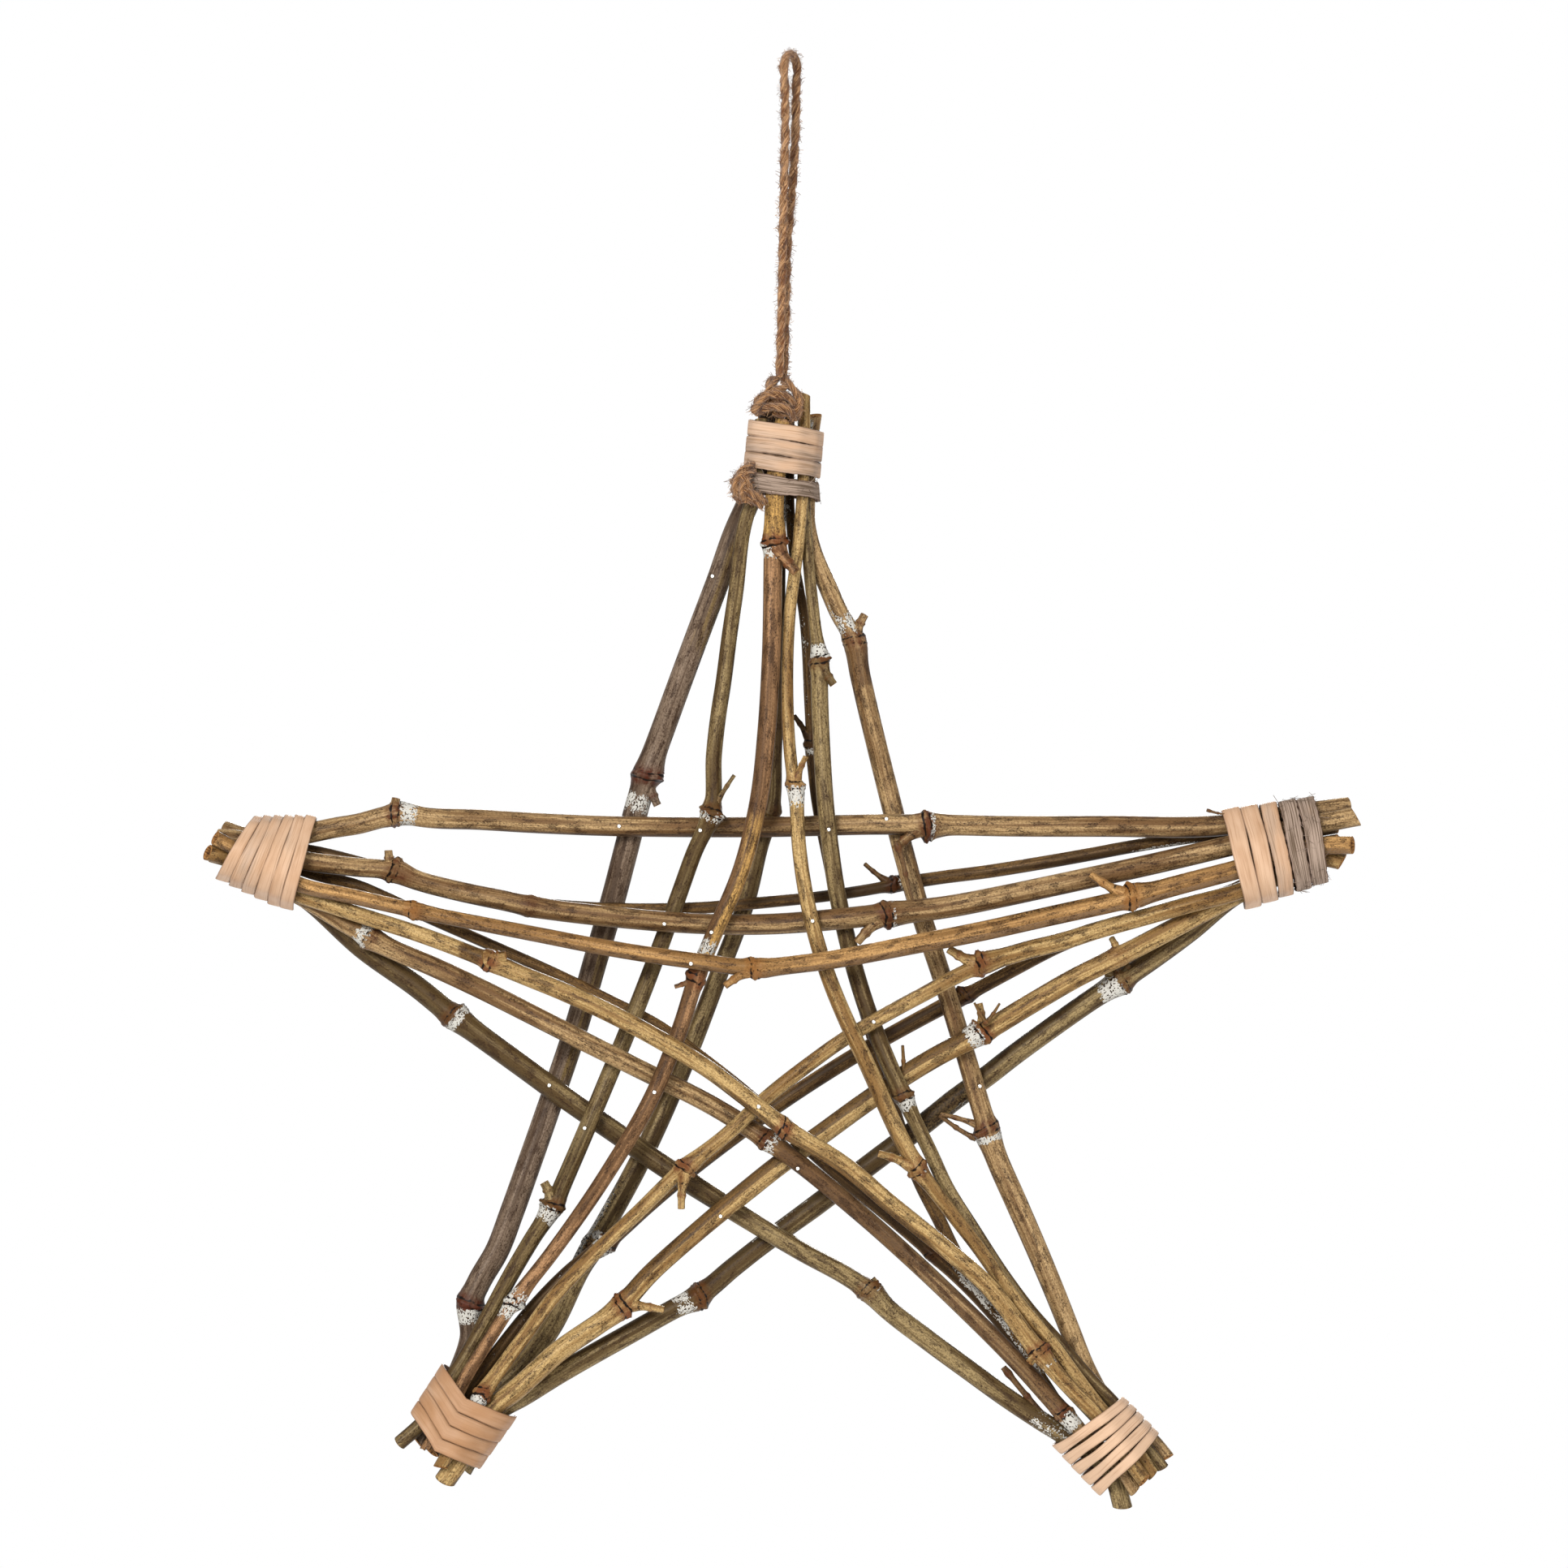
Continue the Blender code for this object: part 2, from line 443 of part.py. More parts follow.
def settle(layouts):
    """Lays the stalks over one another in the order of their ranks, each as straight as it can be."""
    samples = samples_of(layouts)
    meetings = meetings_of(layouts, samples)
    front, back = meetings[:, 0].astype(int), meetings[:, 1].astype(int)
    need = meetings[:, 2]
    low, share = samples[:, 1].astype(int), samples[:, 2]
    sizes = [len(layout.at) for layout in layouts]
    starts = np.cumsum([0, *sizes])
    matrices = [layout.smoothing() for layout in layouts]
    ranks = np.repeat([layout.stalk.rank for layout in layouts], sizes)
    depth = (ranks - ranks.mean()) * RANK_STEP
    ends = np.concatenate([low[front], low[front] + 1, low[back], low[back] + 1])
    weights = np.concatenate([1 - share[front], share[front], 1 - share[back], share[back]])
    signs = np.repeat([-1, 1], 2 * len(need))

    def push(depth):
        at = depth[low] * (1 - share) + depth[np.minimum(low + 1, starts[-1] - 1)] * share
        lack = np.maximum(need - (at[back] - at[front]), 0)
        moves = np.tile(lack, 4) * weights * signs * PUSH_SHARE
        active = np.tile(lack > 0, 4) * weights
        total = np.bincount(ends, moves, starts[-1] + 1)[:-1]
        count = np.bincount(ends, active, starts[-1] + 1)[:-1]
        return depth + total / np.maximum(count, 1), lack.max()

    for _ in range(SETTLE_ROUNDS):
        for matrix, start, end in zip(matrices, starts[:-1], starts[1:]):
            depth[start:end] = matrix @ depth[start:end]
        for _ in range(3):
            depth, _ = push(depth)
    for _ in range(PUSH_ROUNDS):
        depth, lack = push(depth)
        if lack < TOUCH_GAP / 10:
            break
    for layout, start, end in zip(layouts, starts[:-1], starts[1:]):
        layout.y = depth[start:end]


def material(name, tone, roughness=0.6, metallic=0.0):
    made = bpy.data.materials.new(name)
    made.use_nodes = True
    shader = made.node_tree.nodes["Principled BSDF"]
    shader.inputs["Base Color"].default_value = (*TONES[tone], 1)
    shader.inputs["Roughness"].default_value = roughness
    shader.inputs["Metallic"].default_value = metallic
    made.diffuse_color = (*TONES[tone], 1)
    return made


def add_object(name, mesh_maker, tone, smooth=True, **finish):
    """Makes an object from a bmesh, with a material of its own."""
    mesh = bpy.data.meshes.new(name)
    bmesh.ops.recalc_face_normals(mesh_maker, faces=mesh_maker.faces)
    mesh_maker.to_mesh(mesh)
    mesh_maker.free()
    made = bpy.data.objects.new(name, mesh)
    bpy.context.scene.collection.objects.link(made)
    mesh.materials.append(material(name + "_finish", tone, **finish))
    if smooth:
        mesh.shade_smooth()
        mesh.set_sharp_from_angle(angle=math.radians(50))
    return made


def ring_frames(points):
    """The unit tangent and two unit side directions at each point of a line."""
    tangents = np.gradient(points, axis=0)
    tangents /= np.linalg.norm(tangents, axis=1)[:, None]
    depthwise = np.array([0.0, 1.0, 0.0]) - tangents * tangents[:, 1:2]
    depthwise /= np.linalg.norm(depthwise, axis=1)[:, None]
    return tangents, depthwise, np.cross(tangents, depthwise)


def skin(rings, around=False, maker=None):
    """A closed body over rings of points, capped at both ends or joined around."""
    maker = maker or bmesh.new()
    rings = [[maker.verts.new(point) for point in ring] for ring in rings]
    for a, b in zip(rings, rings[1:] + rings[:1] * around):
        for k in range(len(a)):
            nxt = (k + 1) % len(a)
            maker.faces.new((a[k], a[nxt], b[nxt], b[k]))
    if not around:
        maker.faces.new(rings[0])
        maker.faces.new(rings[-1][::-1])
    return maker, rings


def circle(sides):
    """The corners of a unit circle's polygon, one row each."""
    angles = 2 * math.pi * (np.arange(sides) + 0.5) / sides
    return np.stack([np.cos(angles), np.sin(angles)], axis=1)


def tube(points, radii, sides):
    """A closed tube round a line, and its rings of vertices."""
    _, depthwise, sideways = ring_frames(points)
    return skin([
        point + radius * circle(sides) @ np.stack([u, v])
        for point, radius, u, v in zip(points, radii, depthwise, sideways)
    ])


def grow_shoot(maker, ring, next_ring, shoot):
    """Extrudes the side face of a joint that looks along way into a cut-off side shoot."""
    maker.normal_update()
    way = Vector(shoot_steps(shoot))
    half = shoot.thick * SQUARE / 2
    middle = sum((v.co for v in ring), Vector()) / len(ring)
    pairs = [(k, (k + 1) % len(ring)) for k in range(len(ring))]
    best = max(pairs, key=lambda p: (ring[p[0]].co + ring[p[1]].co - 2 * middle).normalized() @ way)
    corners = {ring[best[0]], ring[best[1]], next_ring[best[0]], next_ring[best[1]]}
    face = next(f for f in ring[best[0]].link_faces if set(f.verts) == corners)
    base = face.calc_center_median()
    side = (ring[best[0]].co - ring[best[1]].co).normalized()
    rise = way.normalized().cross(side).normalized()
    side = rise.cross(way.normalized())
    tip = middle + way
    for share in (SHOOT_ROOT, 1.0):
        face = bmesh.ops.extrude_discrete_faces(maker, faces=[face])["faces"][0]
        centre = base.lerp(tip, share)
        for vert in face.verts:
            off = vert.co - face.calc_center_median()
            vert.co = centre + half * (
                math.copysign(1, off @ side) * side + math.copysign(1, off @ rise) * rise
            )
    return face


def build_stalk(layout):
    maker, rings = tube(layout.points(), layout.radius, STALK_SIDES)
    for ring, joint in zip(layout.joint_rings, layout.stalk.joints):
        for shoot in joint.shoots:
            grow_shoot(maker, rings[ring], rings[ring + 1], shoot)
    return add_object(layout.stalk.name, maker, layout.stalk.tone)


def reach_of(layouts, middle, across, limit):
    """How far the bundle reaches from middle, in each direction of a cut across it."""
    along = np.array([-across[1], across[0]])
    ways = circle(WRAP_SIDES)
    reach = np.full(WRAP_SIDES, -np.inf)
    for layout in layouts:
        points = layout.points()
        height = (layout.xz - middle) @ along
        for k in np.flatnonzero(height[:-1] * height[1:] <= 0):
            share = height[k] / (height[k] - height[k + 1])
            point = points[k] + share * (points[k + 1] - points[k])
            radius = layout.radius[k] + share * (layout.radius[k + 1] - layout.radius[k])
            spot = np.array([(point[[0, 2]] - middle) @ across, point[1]])
            if abs(spot[0]) > limit:
                continue
            tangent = points[k + 1] - points[k]
            tangent /= np.linalg.norm(tangent)
            lean = ways @ np.array([tangent[[0, 2]] @ across, tangent[1]])
            square = tangent[[0, 2]] @ along
            reach = np.maximum(reach, ways @ spot + radius * np.sqrt(1 + (lean / square) ** 2))
    return reach


def corners_of(reach):
    """The corners of the polygon whose side in each direction lies reach away."""
    ways = circle(WRAP_SIDES)
    nexts = np.roll(ways, -1, axis=0)
    return np.array([
        np.linalg.solve(np.stack([a, b]), [p, q])
        for a, b, p, q in zip(ways, nexts, reach, np.roll(reach, -1))
    ])


def build_wrap(wrap, layouts):
    """A sleeve of strip drawn tight round the bundle, with one step for each turn."""
    first, last = (np.array([place(*end) for end in ends]) for ends in (wrap.inner, wrap.outer))

    def cut(share):
        left, right = first + share * (last - first)
        width = np.linalg.norm(right - left)
        return (left + right) / 2, (right - left) / width, width

    shares = np.linspace(0, 1, 2 * wrap.turns + 1)
    reaches = np.array([
        reach_of(layouts, middle, across, width) for middle, across, width in map(cut, shares)
    ])
    evened = reaches[0] + shares[:, None] * (reaches[-1] - reaches[0])
    spare = (reaches - evened).max() + TOUCH_GAP
    ends = np.array([corners_of(reaches[0] + spare), corners_of(reaches[-1] + spare)])
    outward = corners_of(np.ones(WRAP_SIDES))
    span = np.linalg.norm(last.mean(axis=0) - first.mean(axis=0))
    middle = ends[0].mean(axis=0)
    half = np.abs(ends[0][:, 0]).max()
    front = ends[0][:, 1] < middle[1]
    bow = wrap.bow * SQUARE / span * front * (1 - (ends[0][:, 0] / half) ** 2)

    def ring(share, grown):
        made = []
        for k in range(WRAP_SIDES):
            at = share + bow[k]
            middle, across, _ = cut(at)
            flat = ends[0][k] + at * (ends[1][k] - ends[0][k]) + grown * outward[k]
            spot = middle + flat[0] * across
            made.append((spot[0], flat[1], spot[1]))
        return made

    rings = [ring(0, 0)]
    for turn in range(wrap.turns):
        rings.append(ring(turn / wrap.turns, STRIP_THICK + STRIP_STEP))
        rings.append(ring((turn + 1) / wrap.turns, STRIP_THICK))
    rings.append(ring(1, 0))
    return add_object(wrap.name, skin(rings, around=True)[0], wrap.tone)


def tree_of(objects):
    """One tree of faces over all these objects, to find what a line meets first."""
    corners, faces = [], []
    for item in objects:
        base = len(corners)
        corners += [tuple(v.co) for v in item.data.vertices]
        faces += [tuple(base + k for k in p.vertices) for p in item.data.polygons]
    return BVHTree.FromPolygons(corners, faces)


def build_knot(name, levels, objects, tail=None):
    """A furrowed knot that lies against the front of the objects. Returns it and its middle's depth."""
    corners = circle(KNOT_SIDES)
    rings = []
    for number, (down, across, half_width, half_depth) in enumerate(levels):
        waves = KNOT_FURROWS * np.arange(KNOT_SIDES) + KNOT_TWIST * number
        furrow = 1 + KNOT_FURROW * np.cos(waves)
        flat = corners * (half_width * SQUARE, half_depth * SQUARE) * furrow[:, None]
        x, z = place(across, down)
        rings.append(np.stack([x + flat[:, 0], flat[:, 1], np.full(KNOT_SIDES, z)], axis=1))
    tree = tree_of(objects)
    depth = math.inf
    shares = np.arange(0, 1, 1 / KNOT_SAMPLES)
    down = np.array([a + share * (b - a) for a, b in zip(rings, rings[1:]) for share in shares])
    around = np.concatenate([down + share * (np.roll(down, 1, axis=1) - down) for share in shares])
    for point in np.concatenate([*around, rings[-1]]):
        met = tree.ray_cast((point[0], -STAR_SPAN, point[2]), (0, 1, 0))[0]
        if met:
            depth = min(depth, met.y - point[1] - TOUCH_GAP)
    maker, rings = skin([ring + (0, depth, 0) for ring in rings])
    if tail:
        level, shoot = tail
        grow_shoot(maker, rings[level], rings[level + 1], shoot)
    return add_object(name, maker, "jute"), depth


def build_loop():
    """The hanging loop: down one strand from the knot's top, round the bend and back."""
    turn = np.array([math.cos(LOOP_TURN), math.sin(LOOP_TURN), 0])
    bend_z = TWINE_THICK / 2 - LOOP_BEND
    way_down = TOUCH_GAP - LOOP_DROP - bend_z
    left, right = [], []
    for share, middle, spare in (*LOOP_STRANDS, (1, KNOT_TOP[0], 0)):
        x = (middle - TOP_MIDDLE) * SQUARE
        z = bend_z + share * way_down
        half = (TWINE_THICK + TOUCH_GAP) / 2 + spare * SQUARE
        for side, sign in ((left, -1), (right, 1)):
            side.append(np.array([x, 0, z]) + sign * half * turn)
    bend = [
        math.cos(angle) * LOOP_BEND * turn
        + np.array([0, 0, bend_z + math.sin(angle) * LOOP_BEND])
        for angle in np.radians(np.arange(180, -1, -30))
    ]
    line = smooth_line([*left[::-1], *bend, *right], LOOP_STEP)
    curve = bpy.data.curves.new("twine_loop", "CURVE")
    curve.dimensions = "3D"
    curve.bevel_depth = TWINE_THICK / 2
    curve.bevel_resolution = 2
    curve.use_fill_caps = True
    spline = curve.splines.new("POLY")
    spline.points.add(len(line) - 1)
    for point, spot in zip(spline.points, line):
        point.co = (*spot, 1)
    curve.materials.append(material("twine_loop_finish", "jute", 0.9))
    made = bpy.data.objects.new("twine_loop", curve)
    bpy.context.scene.collection.objects.link(made)
    return made


def under(layouts, spot):
    """The stalks under a sheet point, front first: depth, radius, layout and share of radius off."""
    found = []
    for layout in layouts:
        steps = np.diff(layout.xz, axis=0)
        shares = ((spot - layout.xz[:-1]) * steps).sum(axis=1) / (steps**2).sum(axis=1)
        shares = np.clip(shares, 0, 1)
        apart = np.linalg.norm(layout.xz[:-1] + shares[:, None] * steps - spot, axis=1)
        k = apart.argmin()
        radius = layout.radius[k] + shares[k] * (layout.radius[k + 1] - layout.radius[k])
        depth = layout.y[k] + shares[k] * (layout.y[k + 1] - layout.y[k])
        if apart[k] < radius:
            found.append((depth, radius, layout, apart[k] / radius))
    return sorted(found, key=lambda row: row[0])


def disc(spot, depth, radius):
    """A ring of points that faces the front, for a brad or its bore."""
    flat = spot + radius * circle(BRAD_SIDES)
    return [(x, depth, z) for x, z in flat]


def build_brad(name, sheet_spot, layouts, bores):
    """A brad through the stalk in front into the one behind it, with its bores added to theirs."""
    spot = np.array(place(*sheet_spot))
    rows = under(layouts, spot)
    depth, radius, layout, off = rows[0]
    near = max(off * radius - BRAD_HEAD / 2, 0)
    seat = depth - math.sqrt(radius**2 - near**2) - TOUCH_GAP
    held = [row for row in rows[:2] if row[3] * row[1] + BRAD_SHANK < row[1]]
    held = [row for row in held if row[0] - seat < BRAD_SPAN]
    last_depth, last_radius = held[-1][:2]
    tip = last_depth + BRAD_BITE * last_radius
    for row in held:
        back = tip + BRAD_CLEARANCE if row is held[-1] else row[0] + 2 * row[1]
        bore = BRAD_SHANK / 2 + BRAD_CLEARANCE
        rings = [disc(spot, row[0] - 2 * row[1], bore), disc(spot, back, bore)]
        skin(rings, maker=bores.setdefault(row[2].stalk.name, bmesh.new()))
    rings = [
        disc(spot, seat - BRAD_HEAD_THICK, BRAD_HEAD / 2),
        disc(spot, seat, BRAD_HEAD / 2),
        disc(spot, seat, BRAD_SHANK / 2),
        disc(spot, tip, BRAD_SHANK / 4),
    ]
    return add_object(name, skin(rings)[0], "steel", roughness=0.3, metallic=1.0)


def cut_bores(stalks, bores):
    """Cuts each stalk's brad bores in one step, and returns the cutters."""
    cutters = []
    for stalk in stalks:
        if stalk.name not in bores:
            continue
        cutter = add_object("bores_" + stalk.name, bores[stalk.name], "steel")
        cutter.hide_render = True
        cutter.display_type = "WIRE"
        cut = stalk.modifiers.new("brad_bores", "BOOLEAN")
        cut.operation = "DIFFERENCE"
        cut.solver = "EXACT"
        cut.object = cutter
        cutters.append(cutter)
    return cutters


def main():
    for item in list(bpy.data.objects):
        bpy.data.objects.remove(item)
    layouts = [Layout(stalk) for stalk in STALKS]
    settle(layouts)
    stalks = [build_stalk(layout) for layout in layouts]
    wraps = [build_wrap(wrap, layouts) for wrap in WRAPS]
    bound = stalks + wraps
    side_knot, _ = build_knot("side_knot", SIDE_KNOT, bound, SIDE_KNOT_TAIL)
    top_knot, depth = build_knot("top_knot", TOP_KNOT, bound)
    bores = {}
    brads = [build_brad(name, spot, layouts, bores) for name, spot in BRADS]
    cutters = cut_bores(stalks, bores)
    for item in [*bound, side_knot, top_knot, *brads, *cutters]:
        item.data.transform(Matrix.Translation((0, -depth, 0)))
    build_loop()


main()
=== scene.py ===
import math
from collections import namedtuple

import bmesh
import bpy
import numpy as np
from mathutils import Matrix, Vector
from mathutils.bvhtree import BVHTree


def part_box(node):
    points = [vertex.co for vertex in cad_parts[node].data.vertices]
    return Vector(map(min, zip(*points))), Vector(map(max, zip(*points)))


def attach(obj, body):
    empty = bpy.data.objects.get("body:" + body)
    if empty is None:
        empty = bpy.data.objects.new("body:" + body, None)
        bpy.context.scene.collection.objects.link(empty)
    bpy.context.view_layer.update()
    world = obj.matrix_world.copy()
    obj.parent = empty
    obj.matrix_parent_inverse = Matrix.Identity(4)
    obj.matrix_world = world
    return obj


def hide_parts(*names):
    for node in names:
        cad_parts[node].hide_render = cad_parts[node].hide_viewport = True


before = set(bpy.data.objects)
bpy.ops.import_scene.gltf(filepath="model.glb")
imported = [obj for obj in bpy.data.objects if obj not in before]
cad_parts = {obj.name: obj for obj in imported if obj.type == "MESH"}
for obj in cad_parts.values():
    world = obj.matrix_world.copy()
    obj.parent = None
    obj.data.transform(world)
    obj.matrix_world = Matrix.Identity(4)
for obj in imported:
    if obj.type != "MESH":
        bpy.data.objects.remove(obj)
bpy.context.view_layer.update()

# Sizes of the star, as in the part's own source, in metres
STAR_SPAN = 0.400
TOUCH_GAP = 0.0003
STRIP_THICK = 0.0009
TWINE_THICK = 0.0031
LOOP_BEND = 0.0057
LOOP_TURN = math.radians(66)
LOOP_DROP = 0.1113
LOOP_STEP = 2.5 * TWINE_THICK

# Routes are drawn on the same sheet of squares, counted right and down
SPAN_SQUARES = 1414
SQUARE = STAR_SPAN / SPAN_SQUARES
TOP_MIDDLE = 974
KNOT_TOP = (963, 468)

# How finely the stalks are drawn: points round them, and steps along them, which are fine as far as
# FINE_REACH from each joint and end
SIDES = 24
ROUTE_STEP = 0.001
LONG_STEP = 0.0015
FINE_STEP = 0.0003
FINE_REACH = 0.0065
JOINT_HALF = 0.008 * STAR_SPAN

# How the CAD stalks are probed for their depth: the step and the length left out at both ends. What
# is met counts where it is as deep as one stalk, as a share of the radius. Then it is smoothed.
PROBE_STEP = 0.003
PROBE_MARGIN = 0.0008
ONE_STALK = (1.6, 2.7)
SMOOTH_REACH = 14
SMOOTH_HALF = 6.0

# Each stalk's grain and waves differ from the next one's by this much, in metres and in radians,
# and the grain of its shoots and twigs differs from its own
GRAIN_SHIFT = 0.9
SHOOT_SHIFT = 0.3
TWIG_SHIFT = 5
WAVE_SHIFT = 1.7

# A joint's forms along its stalk in metres, counted from the joint the way that it grew: over what
# length scar and flare fade before and behind it, and the middle and half length of the others
SCAR = (0.0005, 0.0010)
FLARE = (0.0024, 0.0056)
COLLAR = (-0.0006, 0.0026)
COLLAR_RIM = (0.0022, 0.0010)
LUMPS = (-0.0006, 0.0022)
WRINKLES = (-0.0011, 0.0013)
DARK_RING = (0.0010, 0.00036)
DARK_SEAM = (-0.0014, 0.00028)

# Over what length a patch fades at its ends, where it runs all round its stalk and where not
PATCH_FADE = (0.004, 0.012)

# How finely the side shoots and the twigs are drawn, and from what thickness a shoot's cut end is
# as deep as a stalk's
SHOOT_SIDES = 14
SHOOT_RINGS = 22
SHOOT_CUT = 0.004
TWIG_SIDES = 10
TWIG_STEP = 0.0006

# The cut ends: from what radius a stalk and from what thickness a shoot is hollow, and over what
# length a stalk's rings lean over to its slanting cut
HOLLOW_STALK = 0.0026
HOLLOW_SHOOT = 0.0026
END_LEAN = 0.004

# A cut end's rings from the skin in: share of the radius, depth, how cut and how dark it looks. The
# dark inside a hollow end is painted shade.
CUT_END = (
    (1.0, 0.0, 1, 0.25), (0.94, -0.00012, 1, 0), (0.66, 0.0, 1, 0.1), (0.58, 0.0006, 0.6, 0.7),
    (0.50, 0.0022, 0.2, 1.0), (0.05, 0.0024, 0.2, 1.0),
)
SOLID_END = (
    (1.0, 0.0, 1, 0.2), (0.92, -0.0001, 1, 0), (0.45, 0.0, 1, 0), (0.35, 0.0002, 1, 0.5),
    (0.05, 0.0003, 1, 0.5),
)

# What the bamboo's finish reads at each point
MARKS = ("tone", "collar", "frost", "soot", "cut")

# How finely the wraps are measured and drawn: places along and round a sleeve, how far outside it
# the probes start, and steps in each turn
WRAP_SHARES = np.linspace(0.03, 0.97, 12)
WRAP_SIDES = 72
WRAP_PROBE = 0.06
TURN_STEPS = 96

# Where across its front a sagging wrap folds, from -1 to 1
FOLD_AT = 0.2

# The strip's form across: place from -1 to 1, height in thicknesses and how much of an edge it is.
# The edges take painted shade where the turns meet.
STRIP_FORM = (
    (-1, -0.48, 1), (-0.93, -0.20, 0.5), (-0.8, -0.06, 0.05), (-0.5, -0.01, 0), (0, 0, 0),
    (0.5, -0.01, 0), (0.8, -0.06, 0.05), (0.93, -0.20, 0.5), (1, -0.48, 1), (0.85, -1, 1),
    (-0.85, -1, 1),
)

# How worn a strip's skin is, from 0 to 1, where it starts to have splinters
WORN = 0.7

# The twine, in metres: the length of one twist in the loop and in the knots, and the steps
LOOP_TWIST = 0.0160
KNOT_TWIST = 0.0150
LOOP_LINE_STEP = 0.0010
KNOT_LINE_STEP = 0.0012
TWINE_STEP = 0.0006
TWINE_SIDES = 20

# The brads, in metres, and how far behind a CAD brad's foremost point the head's middle lies
BRAD_HEAD = 0.0014
BRAD_SHANK = 0.0008
BRAD_LENGTH = 0.003
BRAD_SEAT = 0.0004

# Loose fibres: their length and thickness in metres, and how far they lean over. Real ones are
# thinner, and these are drawn as thick as they need to be to show.
CROWD = "Fibres per square metre"
HAIRS = {"Length": 0.0026, "Thickness": 0.00009, "Lean": 1.15}
SPLINTERS = {CROWD: 90000, "Length": 0.0040, "Thickness": 0.0001, "Lean": 1.1}

# The camera looks straight at the star from far off, so that it shows it almost without perspective
SHEET_SIDE = 1932
CAMERA_AWAY = 4.0
STAR_DEPTH = 0.012
SENSOR = 36.0

# The floor's height and how far it reaches each way, in metres
FLOOR = -1.4
FLOOR_REACH = 12

# The lamps: place, size in metres and power in watts. All are aimed at the star's middle.
LAMP_AIM = (0, 0, -0.28)
LAMPS = (
    ("key_lamp", (-0.9, -2.4, 0.7), 0.9, 115),
    ("fill_lamp", (1.4, -2.2, 0.1), 1.2, 34),
    ("back_lamp", (0.2, 2.6, 0.2), 1.0, 60),
)

# What the tables below hold, one row for each. A joint's look says where its bud sits round the
# stalk in degrees from the front, how red its collar is, its frost as (how far along, half length,
# amount) in squares, how long the groove that runs on from its bud is, in metres, and which way it
# grew along the route. A patch is a stretch that differs from the rest of its stalk: a second
# tone, frost, soot, painted shade or a collar's red. It runs between two sheet points, round the
# stalk about side degrees from the front and half as far each way.
Stalk = namedtuple("Stalk", "name tone thick route joints patches", defaults=((),))
Joint = namedtuple("Joint", "at look swell shoots", defaults=(1.35, ()))
Look = namedtuple("Look", "bud collar frost groove grow", defaults=(40, 0.8, None, 0.05, -1))
Shoot = namedtuple("Shoot", "reach thick forward", defaults=(0.0,))
Patch = namedtuple("Patch", "kind start end side half amount", defaults=(0, 180, 1.0))
Twig = namedtuple("Twig", "stalk route thick lift")
Wrap = namedtuple("Wrap", "name inner outer bow pale gape turns")

